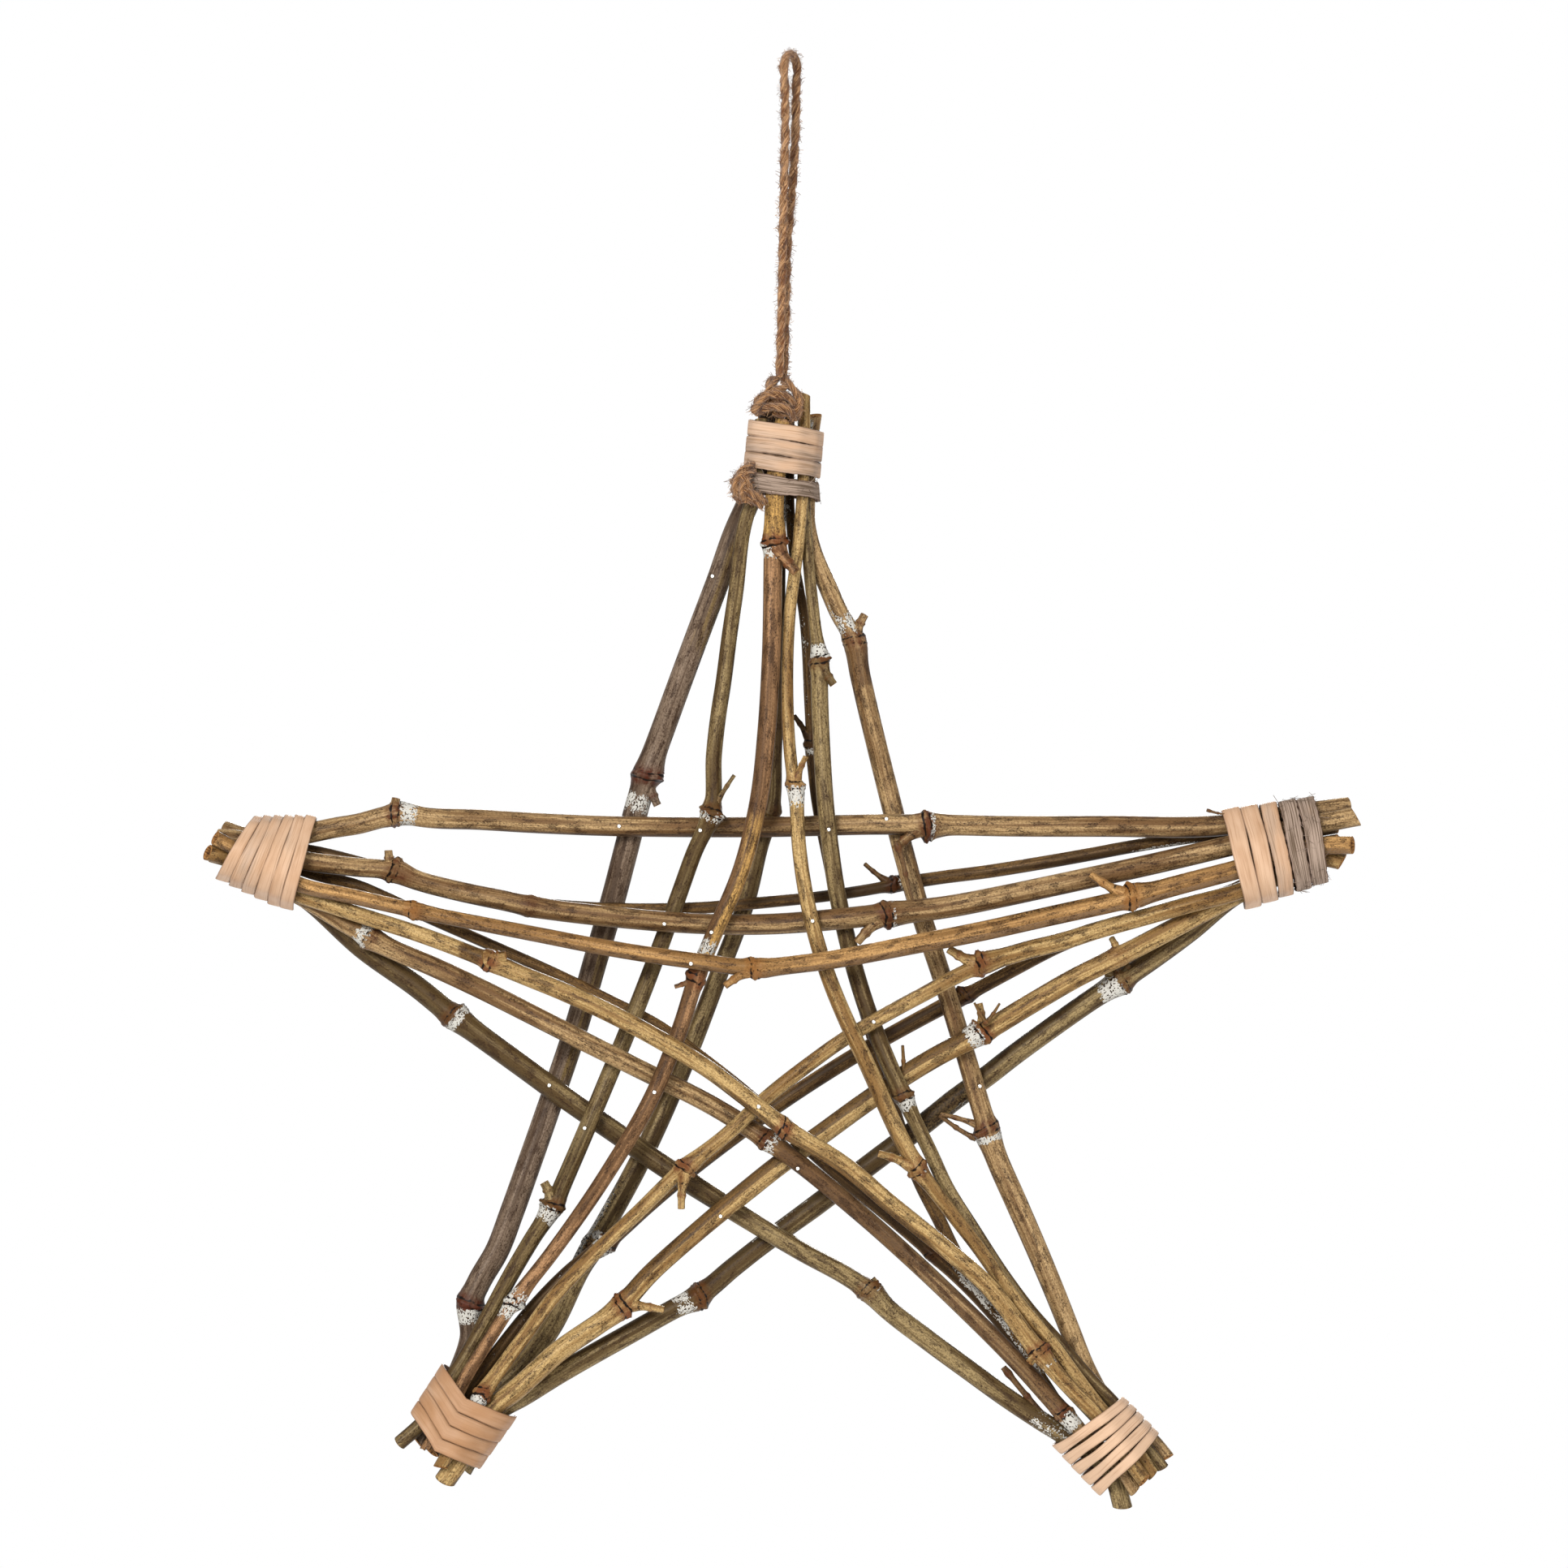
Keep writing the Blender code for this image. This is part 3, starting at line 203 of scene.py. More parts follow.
# The stalks, with names, thicknesses, routes, joints and shoots as in the part's source
STALKS = (
    Stalk(
        "stalk_arms_front", "orange", (18, 19, 18.5, 21, 22.5, 25, 25.5, 22),
        ((268, 1032), (288, 1043), (330, 1066), (366, 1087), (436, 1104), (511, 1121), (560, 1131),
         (612, 1141), (675, 1153), (716, 1161), (773, 1171), (857, 1183), (928, 1191), (997, 1185),
         (1139, 1160), (1206, 1147), (1292, 1128), (1391, 1106), (1450, 1090), (1515, 1073),
         (1629, 1042), (1664, 1041)),
        (Joint((511, 1121), Look(-150, 0.6, None, 0.0)),
         Joint((928, 1191), Look(-50, 0.7, (16, 10, 0.25), 0.09), 1.35,
               (Shoot((-34, 22), 10.6, 0.15),)),
         Joint((1391, 1106), Look(60, 0.8, (8, 5, 0.3), 0.08), 1.5,
               (Shoot((-48, -29), 11.0, 0.15),))),
        (Patch("tone", (268, 1046), (1664, 1041), -95, 80, 0.8),
         Patch("soot", (1235, 1141), (1345, 1117), 75, 40, 0.5),
         Patch("frost", (402, 1097), (497, 1119), -35, 28, 0.42)),
    ),
    Stalk(
        "stalk_arms_second", "tan", (24, 24, 24.5, 25, 25, 26.5, 28, 25),
        ((266, 1033), (291, 1034), (330, 1048), (375, 1060), (436, 1068), (484, 1073), (513, 1084),
         (558, 1096), (590, 1103), (620, 1109), (652, 1116), (742, 1128), (933, 1139),
         (1090, 1126), (1167, 1117), (1240, 1103), (1292, 1092), (1348, 1080), (1390, 1071),
         (1510, 1043), (1622, 1015), (1669, 1006)),
        (Joint((484, 1073), Look(70, 0.8, None, 0.0), 1.4, (Shoot((-4, -25), 12.0, 0.3),)),
         Joint((652, 1116), Look(20, 0.3, None, 0.0), 1.12),
         Joint((1090, 1126), Look(-60, 0.8, (10, 6, 0.4), 0.1), 1.3,
               (Shoot((-34, 34), 12.7, 0.2),))),
        (Patch("collar", (487, 1074), (507, 1081), 0, 180, 0.75),),
    ),
    Stalk(
        "stalk_arms_third", "tan", (25, 25.5, 24.5, 26, 26.5, 26),
        ((277, 1024), (298, 1031), (345, 1034), (388, 1025), (412, 1020), (442, 1015), (472, 1007),
         (486, 1004), (503, 1004), (523, 1007), (590, 1010), (658, 1014), (758, 1018), (815, 1019),
         (950, 1019), (1078, 1016), (1139, 1016), (1251, 1018), (1364, 1018), (1492, 1018),
         (1620, 1000), (1660, 995)),
        (Joint((486, 1004), Look(85, 0.9, (17, 10, 0.95), 0.0), 1.3,
               (Shoot((2, -20), 12.7, 0.2),)),
         Joint((1139, 1016), Look(-55, 0.9, (9, 5, 0.4), 0.12), 1.55,
               (Shoot((-36, 30), 12.7, 0.1),))),
        (Patch("tone", (523, 1007), (1139, 1015), -100, 60, 0.6),
         Patch("tone", (1200, 1015), (1660, 995), -90, 50, 0.4)),
    ),
    Stalk(
        "stalk_arms_back", "dark", (15, 15, 17, 15),
        ((276, 1032), (293, 1036), (345, 1043), (385, 1049), (440, 1062), (480, 1073), (560, 1099),
         (650, 1112), (742, 1119), (857, 1119), (952, 1111), (1010, 1105), (1060, 1098),
         (1100, 1091), (1156, 1082), (1218, 1074), (1280, 1064), (1342, 1053), (1390, 1044),
         (1500, 1028), (1625, 1023), (1650, 1019)),
        (Joint((1100, 1091), Look(70, 0.8, (10, 6, 0.4)), 1.5, (Shoot((-34, -26), 6.4, -0.1),)),),
        (Patch("frost", (1390, 1042), (1480, 1030), -90, 60, 0.55),),
    ),
    Stalk(
        "stalk_falling_front", "yellow", (20, 20.5, 22.5, 22.5, 21.5, 22, 19, 18),
        ((258, 1050), (290, 1058), (330, 1080), (365, 1100), (411, 1116), (460, 1132), (513, 1149),
         (603, 1183), (641, 1199), (693, 1220), (750, 1246), (802, 1273), (873, 1316), (917, 1349),
         (966, 1387), (1038, 1432), (1100, 1484), (1164, 1536), (1215, 1581), (1279, 1664),
         (1322, 1713), (1349, 1740), (1393, 1801), (1409, 1822)),
        (Joint((603, 1183), Look(15, 0.9, (-16, 6, 0.2), 0.0), 1.3, (Shoot((22, -6), 15.6, 0.5),)),
         Joint((966, 1387), Look(-70, 1.0), 1.2),
         Joint((1280, 1665), Look(160, 1.0, (20, 6, 0.35), 0.06), 1.5,
               (Shoot((-12, 12), 12.0, 0.6),))),
        (Patch("tone", (566, 1170), (597, 1180), 0, 180, 0.75),
         Patch("tone", (895, 1323), (1164, 1531), -90, 70, 0.6)),
    ),
    Stalk(
        "stalk_falling_second", "tan", (23, 24.5, 24.5, 24, 22, 22.5, 20, 19),
        ((264, 1052), (285, 1058), (325, 1080), (371, 1104), (434, 1142), (475, 1165), (535, 1191),
         (593, 1218), (649, 1246), (736, 1290), (786, 1315), (886, 1366), (946, 1404),
         (1067, 1500), (1114, 1542), (1181, 1605), (1256, 1680), (1308, 1738), (1332, 1764),
         (1384, 1812), (1398, 1834)),
        (Joint((453, 1154), Look(10, 0.5, (-6, 9, 0.8), 0.0), 1.35, (Shoot((10, 6), 14.8, 0.9),)),
         Joint((946, 1404), Look(120, 0.7, (9, 9, 0.5), 0.08)),
         Joint((1311, 1741), Look(60, 0.8, (14, 9, 0.8), 0.0), 1.2)),
        (Patch("tone", (960, 1414), (1310, 1742), 0, 180, 0.55),),
    ),
    Stalk(
        "stalk_falling_third", "olive", (23, 27.5, 28.5, 25.5, 26, 23.5),
        ((268, 1052), (286, 1056), (325, 1077), (370, 1103), (449, 1171), (516, 1218), (557, 1251),
         (590, 1275), (641, 1312), (709, 1362), (753, 1392), (815, 1435), (870, 1470), (927, 1505),
         (990, 1542), (1046, 1573), (1068, 1588), (1093, 1612), (1142, 1650), (1191, 1686),
         (1242, 1723), (1284, 1751), (1320, 1774), (1371, 1817), (1383, 1856)),
        (Joint((557, 1251), Look(60, 0.6, (9, 6, 0.8), 0.0)),
         Joint((1068, 1588), Look(80, 0.7, (10, 6, 0.3), 0.07), 1.35,
               (Shoot((12, -12), 10.6, 0.3),))),
        (Patch("tone", (290, 1060), (900, 1490), -90, 80, 0.5),
         Patch("frost", (1270, 1740), (1320, 1772), 0, 180, 0.45)),
    ),
    Stalk(
        "stalk_falling_back", "dark", (14.5, 15, 15.5, 14.8),
        ((270, 1036), (288, 1041), (330, 1057), (385, 1077), (440, 1091), (480, 1108), (520, 1127),
         (590, 1158), (647, 1183), (699, 1207), (755, 1235), (808, 1262), (865, 1303), (936, 1360),
         (1000, 1420), (1148, 1545), (1198, 1592), (1262, 1668), (1300, 1725), (1322, 1760),
         (1380, 1809), (1392, 1824)),
        (Joint((1148, 1545), Look(90), 1.4),),
        (Patch("frost", (1165, 1560), (1290, 1715), 60, 80, 0.55),),
    ),
    Stalk(
        "stalk_rising_front", "yellow", (20, 23, 19.5, 17.5, 18, 18, 18, 17),
        ((1652, 1062), (1633, 1058), (1580, 1077), (1522, 1099), (1465, 1114), (1415, 1128),
         (1344, 1148), (1313, 1158), (1262, 1171), (1206, 1189), (1135, 1225), (1089, 1250),
         (1028, 1287), (1006, 1303), (946, 1350), (895, 1397), (844, 1437), (786, 1493),
         (725, 1551), (681, 1599), (652, 1638), (624, 1676), (600, 1709), (592, 1721), (559, 1779),
         (544, 1805)),
        (Joint((1206, 1189), Look(-75, 0.8, (-8, 5, 0.2), 0.08, 1), 1.55,
               (Shoot((-38, -20), 12.7, 0.2),)),
         Joint((844, 1437), Look(60, 0.8, (-8, 4, 0.2), 0.05, 1), 1.6,
               (Shoot((-4, 50), 10.6, 0.2),)),
         Joint((594, 1718), Look(0, 0.9, (9, 6, 1.0), 0.0, 1))),
    ),
    Stalk(
        "stalk_rising_second", "yellow", (24, 24, 24, 26, 25.5, 25.5, 26, 26.5),
        ((1655, 1050), (1631, 1050), (1580, 1076), (1522, 1103), (1466, 1133), (1379, 1178),
         (1326, 1204), (1272, 1235), (1210, 1272), (1156, 1300), (1129, 1316), (1062, 1361),
         (1018, 1393), (948, 1444), (923, 1464), (869, 1509), (846, 1529), (800, 1571),
         (768, 1606), (684, 1668), (635, 1712), (612, 1730), (572, 1790), (549, 1823)),
        (Joint((1379, 1178), Look(-90, 0.3, None, 0.0), 1.1, (Shoot((-10, -22), 9.2, -0.1),)),
         Joint((1210, 1272), Look(-60, 0.9, (12, 9, 0.7), 0.04), 1.35,
               (Shoot((-4, -36), 9.9, 0.3),)),
         Joint((768, 1606), Look(90, 0.9, (8, 5, 0.3), 0.06), 1.35, (Shoot((50, 6), 10.6, 0.2),))),
        (Patch("tone", (1210, 1275), (772, 1603), -90, 85, 0.9),),
    ),
    Stalk(
        "stalk_rising_third", "olive", (22, 25.5, 26.5, 27, 25, 25),
        ((1650, 1053), (1634, 1053), (1585, 1074), (1522, 1104), (1466, 1149), (1402, 1195),
         (1344, 1233), (1293, 1269), (1243, 1306), (1224, 1321), (1172, 1359), (1151, 1376),
         (1078, 1431), (1011, 1482), (927, 1545), (903, 1564), (866, 1594), (827, 1615),
         (786, 1638), (684, 1696), (642, 1722), (620, 1734), (579, 1794), (571, 1808)),
        (Joint((1384, 1208), Look(20, 0.6, (20, 14, 0.8), 0.0), 1.45,
               (Shoot((-22, -8), 12.0, 0.5),)),
         Joint((864, 1595), Look(90, 0.8, (24, 12, 0.6)), 1.45)),
        (Patch("frost", (1088, 1422), (921, 1547), -90, 50, 0.4),
         Patch("frost", (1190, 1343), (1165, 1365), 90, 60, 0.7),
         Patch("soot", (1200, 1340), (1110, 1400), 0, 180, 0.44),
         Patch("tone", (1340, 1240), (880, 1585), -90, 80, 0.6)),
    ),
    Stalk(
        "stalk_rising_back", "dark", (17, 18.5, 20, 19, 18, 18),
        ((1650, 1036), (1628, 1040), (1570, 1072), (1517, 1099), (1440, 1121), (1303, 1167),
         (1249, 1195), (1193, 1225), (1143, 1251), (1097, 1276), (1039, 1310), (1015, 1325),
         (959, 1362), (894, 1409), (869, 1428), (812, 1474), (797, 1487), (748, 1531), (706, 1563),
         (658, 1611), (618, 1660), (583, 1706), (546, 1770), (533, 1789)),
        (Joint((1190, 1227), Look(-90, 0.7), 1.4),
         Joint((748, 1531), Look(20, 0.9, (8, 8, 0.7), 0.0), 1.5)),
        (Patch("frost", (715, 1565), (590, 1700), 30, 90, 0.3),),
    ),
    Stalk(
        "stalk_left_leg_front", "russet", (22.6, 24, 24, 20.5, 20.5, 18.5, 17.5, 16.5),
        ((967, 518), (961, 545), (955, 606), (953, 670), (950, 812), (945, 897), (934, 991),
         (915, 1067), (876, 1160), (858, 1205), (841, 1259), (807, 1344), (749, 1444), (678, 1546),
         (633, 1604), (607, 1645), (576, 1694), (540, 1764), (527, 1784)),
        (Joint((953, 670), Look(60, 1.0, (10, 10, 0.7), 0.0, 1), 1.45,
               (Shoot((28, 36), 14.1, 0.3),)),
         Joint((858, 1205), Look(-80, 0.8, (-40, 12, 0.6), 0.0, 1), 1.3,
               (Shoot((-26, 10), 6.4, 0.2),)),
         Joint((633, 1604), Look(90, 0.9, (2, 20, 0.75), 0.04, 1), 1.5)),
        (Patch("tone", (966, 520), (953, 660)),
         Patch("tone", (934, 991), (858, 1190), 40, 90, 0.55)),
    ),
    Stalk(
        "stalk_left_leg_second", "olive", (17, 20.5, 20, 23, 21.5, 18),
        ((938, 519), (937, 555), (931, 600), (917, 650), (907, 728), (899, 783), (891, 845),
         (886, 877), (880, 930), (877, 999), (854, 1054), (840, 1093), (817, 1157), (790, 1228),
         (769, 1281), (749, 1329), (716, 1407), (694, 1458), (683, 1484), (656, 1526), (634, 1563),
         (600, 1625), (573, 1673), (557, 1698), (521, 1752), (493, 1777)),
        (Joint((877, 998), Look(60, 0.7, (8, 8, 0.5), 0.06), 1.65, (Shoot((28, -44), 5.7, 0.3),)),
         Joint((684, 1485), Look(-60, 0.8, (14, 10, 0.85)), 1.5, (Shoot((-12, -28), 13.4, 0.3),))),
        (Patch("tone", (866, 1026), (521, 1752), 0, 180, 0.45),),
    ),
    Stalk(
        "stalk_left_leg_third", "mauve", (27, 31, 31, 29.5, 27, 24),
        ((948, 502), (946, 535), (939, 575), (925, 612), (906, 655), (885, 715), (863, 773),
         (841, 832), (819, 892), (797, 953), (786, 989), (770, 1051), (757, 1101), (731, 1191),
         (713, 1254), (672, 1376), (651, 1436), (630, 1495), (612, 1542), (590, 1580), (579, 1605),
         (579, 1650), (566, 1688), (527, 1757), (515, 1778)),
        (Joint((796, 955), Look(50, 1.0, (34, 12, 0.7), 0.0, 1), 1.4,
               (Shoot((14, 36), 12.0, 0.3),)), Joint((579, 1605), Look(40, 0.9, (17, 9, 0.9)))),
        (Patch("frost", (948, 502), (947, 511), -60, 60),
         Patch("tone", (905, 650), (850, 812), 40, 70, 0.5),
         Patch("tone", (745, 1144), (690, 1340), 60, 60, 0.6)),
    ),
    Stalk(
        "stalk_left_leg_back", "olive", (17, 20, 21, 26.5, 27, 26),
        ((956, 509), (958, 560), (959, 606), (959, 700), (957, 850), (954, 925), (950, 999),
         (937, 1040), (921, 1106), (886, 1200), (841, 1315), (779, 1449), (748, 1505), (713, 1566),
         (677, 1639), (640, 1688), (603, 1723), (562, 1783), (552, 1799)),
        (Joint((950, 999), Look(0, 0.5), 1.3),
         Joint((731, 1535), Look(40, 0.6, (-12, 7, 0.8), 0.0), 1.2)),
        (Patch("tone", (956, 509), (958, 760), 0, 180, 0.9),
         Patch("frost", (955, 560), (958, 680), 60, 90, 0.6),
         Patch("frost", (770, 1465), (713, 1566), -90, 60, 0.75),
         # This soot patch is painted shade on the stalk's shadowed side
         Patch("soot", (779, 1449), (690, 1610), -75, 60, 0.5)),
    ),
    Stalk(
        "stalk_right_leg_front", "yellow", (14.8, 15.5, 17, 22, 18, 16.3),
        ((991, 487), (991, 530), (989, 606), (983, 676), (973, 756), (970, 850), (975, 941),
         (980, 976), (985, 1048), (989, 1079), (996, 1117), (1007, 1161), (1024, 1212),
         (1044, 1260), (1062, 1298), (1130, 1437), (1174, 1496), (1199, 1528), (1251, 1601),
         (1300, 1660), (1327, 1697), (1354, 1732), (1405, 1793), (1420, 1816)),
        (Joint((979, 967), Look(60, 0.7, (15, 13, 0.95), 0.06), 1.5,
               (Shoot((14, -34), 7.8, 0.2),)),
         Joint((1130, 1437), Look(-70, 0.7, (8, 5, 0.3), 0.08), 1.45,
               (Shoot((-48, -18), 10.6, 0.3),))),
    ),
    Stalk(
        "stalk_right_leg_second", "olive", (12, 15, 21, 22, 19, 16),
        ((989, 518), (988, 560), (991, 606), (996, 692), (1003, 760), (1009, 815), (1010, 860),
         (1013, 930), (1018, 1000), (1024, 1051), (1028, 1080), (1043, 1154), (1056, 1204),
         (1065, 1233), (1111, 1347), (1147, 1421), (1165, 1460), (1198, 1513), (1240, 1577),
         (1272, 1619), (1302, 1652), (1347, 1703), (1368, 1724), (1414, 1785), (1432, 1808)),
        (Joint((1010, 814), Look(60, 0.8, (-13, 8, 0.8), 0.0, 1), 1.6,
               (Shoot((18, 28), 12.0, 0.3),)),
         Joint((1111, 1347), Look(40, 0.7, (13, 7, 0.8), 0.0), 1.4)),
        (Patch("frost", (989, 518), (988, 531)),),
    ),
    Stalk(
        "stalk_right_leg_third", "tan", (19.1, 24, 26, 26, 28, 23),
        ((1003, 512), (998, 545), (995, 580), (994, 614), (994, 645), (1002, 680), (1020, 723),
         (1033, 753), (1050, 784), (1060, 832), (1067, 863), (1082, 925), (1097, 985),
         (1115, 1056), (1140, 1144), (1154, 1186), (1192, 1310), (1210, 1371), (1226, 1422),
         (1251, 1479), (1276, 1536), (1300, 1593), (1318, 1638), (1339, 1689), (1362, 1729),
         (1421, 1780), (1436, 1798)),
        (Joint((1051, 787), Look(60, 0.8, (-20, 18, 0.45), 0.0), 1.25,
               (Shoot((14, -30), 12.0, 0.2),)),
         Joint((1216, 1391), Look(-85, 0.8, (12, 5, 0.85), 0.1), 1.35,
               (Shoot((-56, -17), 6.4, -0.1),))),
        (Patch("frost", (1003, 512), (998, 530), -90, 100),
         Patch("tone", (1050, 795), (1062, 850), 0, 180, 0.5),
         Patch("frost", (1020, 722), (1048, 775), -90, 60, 0.5)),
    ),
    Stalk(
        "stalk_right_leg_back", "dark", (12, 12.5, 14, 19),
        ((973, 507), (973, 560), (973, 620), (979, 690), (990, 756), (997, 869), (1000, 920),
         (1006, 981), (1021, 1060), (1036, 1130), (1052, 1195), (1082, 1300), (1112, 1400),
         (1135, 1460), (1158, 1505), (1178, 1546), (1222, 1608), (1300, 1692), (1350, 1745),
         (1400, 1797), (1412, 1812)),
        (Joint((999, 912), Look(-60, 0.7, (11, 7, 0.6)), 1.4, (Shoot((-21, -31), 7.1, 0.1),)),),
        (Patch("frost", (973, 580), (990, 890), 0, 180, 0.35),),
    ),
)

# Thin twigs that lie beside the joints: the stalk that they lie before or behind, their route on
# the sheet, their thickness at both ends and how far before the stalk's middle they lie, in squares
TWIGS = (
    Twig("stalk_arms_third", ((1104, 1036), (1112, 1062), (1118, 1088), (1124, 1109)), (8, 4), 16),
    Twig("stalk_rising_front", ((1216, 1262), (1207, 1248), (1200, 1235)), (6, 3), 4),
    Twig("stalk_rising_second", ((1212, 1262), (1222, 1250), (1231, 1236)), (6, 3), 16),
    Twig("stalk_rising_second", ((1112, 1330), (1113, 1310), (1112, 1288)), (6, 4), 8),
    Twig("stalk_falling_second", ((1236, 1684), (1262, 1716), (1290, 1748)), (8, 7), -14),
    Twig("stalk_rising_third", ((1392, 1188), (1383, 1198), (1370, 1216)), (7, 4), 10),
    Twig("stalk_right_leg_third", ((1203, 1404), (1182, 1392), (1158, 1375)), (7, 5), -8),
    Twig("stalk_arms_third", ((1486, 998), (1496, 1001), (1512, 1004)), (4, 2), 12),
)

# The cane wraps, with names, ends and bow as in the part's source. Each has how pale its cane is,
# how far its turns gape in front as a share of their width, and its turns: how wide each one is, as
# a share of its pitch, and how weathered it is.
WRAPS = (
    Wrap("wrap_top", ((921, 577), (1006, 589)), ((927, 518), (1010, 531)), 0, 0.7, 0,
         ((1.01, 0.43), (1.02, 0.45), (1.0, 0.3))),
    Wrap("wrap_top_lower", ((926, 604), (1004, 614)), ((922, 585), (1005, 596)), 0, 0.4, 0.22,
         ((1.36, 0.85),)),
    Wrap("wrap_left", ((362, 1119), (389, 1012)), ((272, 1073), (306, 1017)), 0, 0.55, 0,
         ((1.06, 0.1), (1.05, 0.15), (1.07, 0.1), (1.04, 0.25), (1.06, 0.3), (1.04, 0.1))),
    Wrap("wrap_right", ((1505, 1003), (1531, 1110)), ((1620, 985), (1635, 1078)), 0, 0.55, 0,
         ((1.0, 0.05), (0.98, 0.0), (0.9, 0.35), (0.94, 0.95), (0.96, 0.8))),
    Wrap("wrap_left_foot", ((634, 1743), (552, 1685)), ((589, 1808), (514, 1746)), 16, 0.15, 0,
         ((1.05, 0.1), (1.05, 0.05), (1.05, 0.1), (1.04, 0.1))),
    Wrap("wrap_right_foot", ((1377, 1723), (1301, 1776)), ((1430, 1766), (1361, 1838)), 0, 0.9, 0.2,
         ((0.97, 0.05), (0.99, 0.0), (0.97, 0.0), (0.99, 0.05), (0.96, 0.0))),
)

# The loop's two strands, as in the part's source
LOOP_STRANDS = (
    (0.032, 974, 12.1), (0.159, 974, 10.0), (0.331, 972, 7.5), (0.477, 969, 3.6),
    (0.596, 967, 0.5), (0.701, 966, 0.18), (0.847, 965, 0.18),
)

# The knots' turns of twine: sheet point and how far before the knot's middle, in squares
TOP_KNOT_TURNS = (
    ((930, 507, -2), (934, 496, 10), (946, 488, 16), (962, 489, 19), (976, 495, 15), (984, 507, 6),
     (980, 517, -6)),
    ((933, 511, 0), (944, 504, 12), (958, 503, 18), (971, 507, 15), (979, 517, 4)),
    ((953, 468, -8), (948, 475, 4), (951, 483, 13), (961, 483, 15), (969, 476, 9), (967, 469, -2)),
    ((966, 468, 2), (973, 477, 11), (981, 486, 13), (984, 497, 11), (981, 509, 8), (973, 516, 2)),
    ((956, 468, 3), (951, 479, 12), (944, 490, 17), (936, 499, 15), (929, 508, 6)),
    ((940, 497, 2), (951, 494, 8), (963, 497, 10), (973, 503, 8), (966, 511, 4), (952, 510, 2)),
    ((944, 488, 0), (956, 486, 6), (968, 488, 8), (976, 497, 6)),
)
SIDE_KNOT_TURNS = (
    ((927, 573, -5), (919, 579, 6), (911, 587, 10), (907, 598, 11), (908, 608, 9), (914, 616, 5)),
    ((928, 583, -4), (920, 588, 9), (915, 598, 13), (915, 608, 12), (918, 619, 6)),
    ((904, 595, -2), (909, 590, 7), (918, 593, 12), (923, 603, 9), (921, 613, 0)),
    ((905, 604, -2), (911, 606, 11), (920, 606, 12), (930, 612, 9), (943, 620, 0)),
    ((907, 612, 0), (913, 616, 6), (921, 616, 7), (930, 619, 4), (940, 624, 0)),
)


def linear(colour):
    """An sRGB hex colour as linear values with full alpha."""
    shares = [int(colour[k:k + 2], 16) / 255 for k in (1, 3, 5)]
    return (*[v / 12.92 if v <= 0.04045 else ((v + 0.055) / 1.055) ** 2.4 for v in shares], 1)


def place(square_x, square_y):
    """The sheet point in metres, as (x, z)."""
    return (square_x - TOP_MIDDLE) * SQUARE, (KNOT_TOP[1] - square_y) * SQUARE - LOOP_DROP


def nearest(line, point):
    """Which of the line's points lies nearest to the sheet point."""
    return np.linalg.norm(line - place(*point), axis=1).argmin()


def smooth_line(points, step):
    """Points about step apart on a smooth curve through the given points, of any dimension."""
    points = np.array(points, float)
    gaps = np.linalg.norm(np.diff(points, axis=0), axis=1)
    slopes = np.diff(points, axis=0) / gaps[:, None]
    tangents = np.empty_like(points)
    tangents[0], tangents[-1] = slopes[0], slopes[-1]
    before, after = gaps[:-1, None], gaps[1:, None]
    tangents[1:-1] = (after * slopes[:-1] + before * slopes[1:]) / (before + after)
    line = [points[0]]
    for k, gap in enumerate(gaps):
        count = max(1, math.ceil(gap / step))
        for t in np.arange(1, count + 1) / count:
            line.append(
                (2 * t**3 - 3 * t**2 + 1) * points[k]
                + (t**3 - 2 * t**2 + t) * gap * tangents[k]
                + (3 * t**2 - 2 * t**3) * points[k + 1]
                + (t**3 - t**2) * gap * tangents[k + 1]
            )
    return np.array(line)


def lengths_along(line):
    """How far each of the line's points lies from its start, along the line."""
    return np.concatenate([[0], np.cumsum(np.linalg.norm(np.diff(line, axis=0), axis=1))])


def bump_at(values, middle, half):
    """One at the middle, falling off smoothly on both sides."""
    return np.exp(-(((values - middle) / half) ** 2))


def fade_from(values, lengths):
    """One at nothing, fading over the first length upwards and over the second one downwards."""
    return bump_at(values, 0, np.where(values > 0, *lengths))


def window_at(values, start, end, soft):
    """One between start and end, fading to nothing over soft on both sides."""
    return np.clip((values - start) / soft + 0.5, 0, 1) * np.clip((end - values) / soft + 0.5, 0, 1)


def put(name, data):
    """A new object in the scene that holds the data."""
    made = bpy.data.objects.new(name, data)
    bpy.context.scene.collection.objects.link(made)
    return made


def add(tree, kind, inputs=(), **settings):
    """Adds a node with its settings. inputs holds values, sockets or whole nodes by socket."""
    node = tree.nodes.new(kind)
    for name, value in settings.items():
        setattr(node, name, value)
    for key, value in dict(inputs).items():
        if isinstance(value, bpy.types.Node):
            value = next(socket for socket in value.outputs if socket.enabled)
        if isinstance(value, bpy.types.NodeSocket):
            tree.links.new(value, node.inputs[key])
        else:
            node.inputs[key].default_value = value
    return node


def new_finish(name):
    """An empty material and its node tree."""
    made = bpy.data.materials.new(name)
    made.use_nodes = True
    made.node_tree.nodes.clear()
    return made, made.node_tree


def worked_out(tree, values, rules):
    """The values with a new one for each rule: its name, what is done, and what it is done to."""
    for name, rule, first, *rest in rules:
        given = dict(enumerate([values[first], *(values.get(item, item) for item in rest)]))
        if rule == "RAMP":
            values[name] = add(tree, "ShaderNodeMapRange", given, interpolation_type="SMOOTHSTEP")
        else:
            values[name] = add(tree, "ShaderNodeMath", given, operation=rule)
    return values


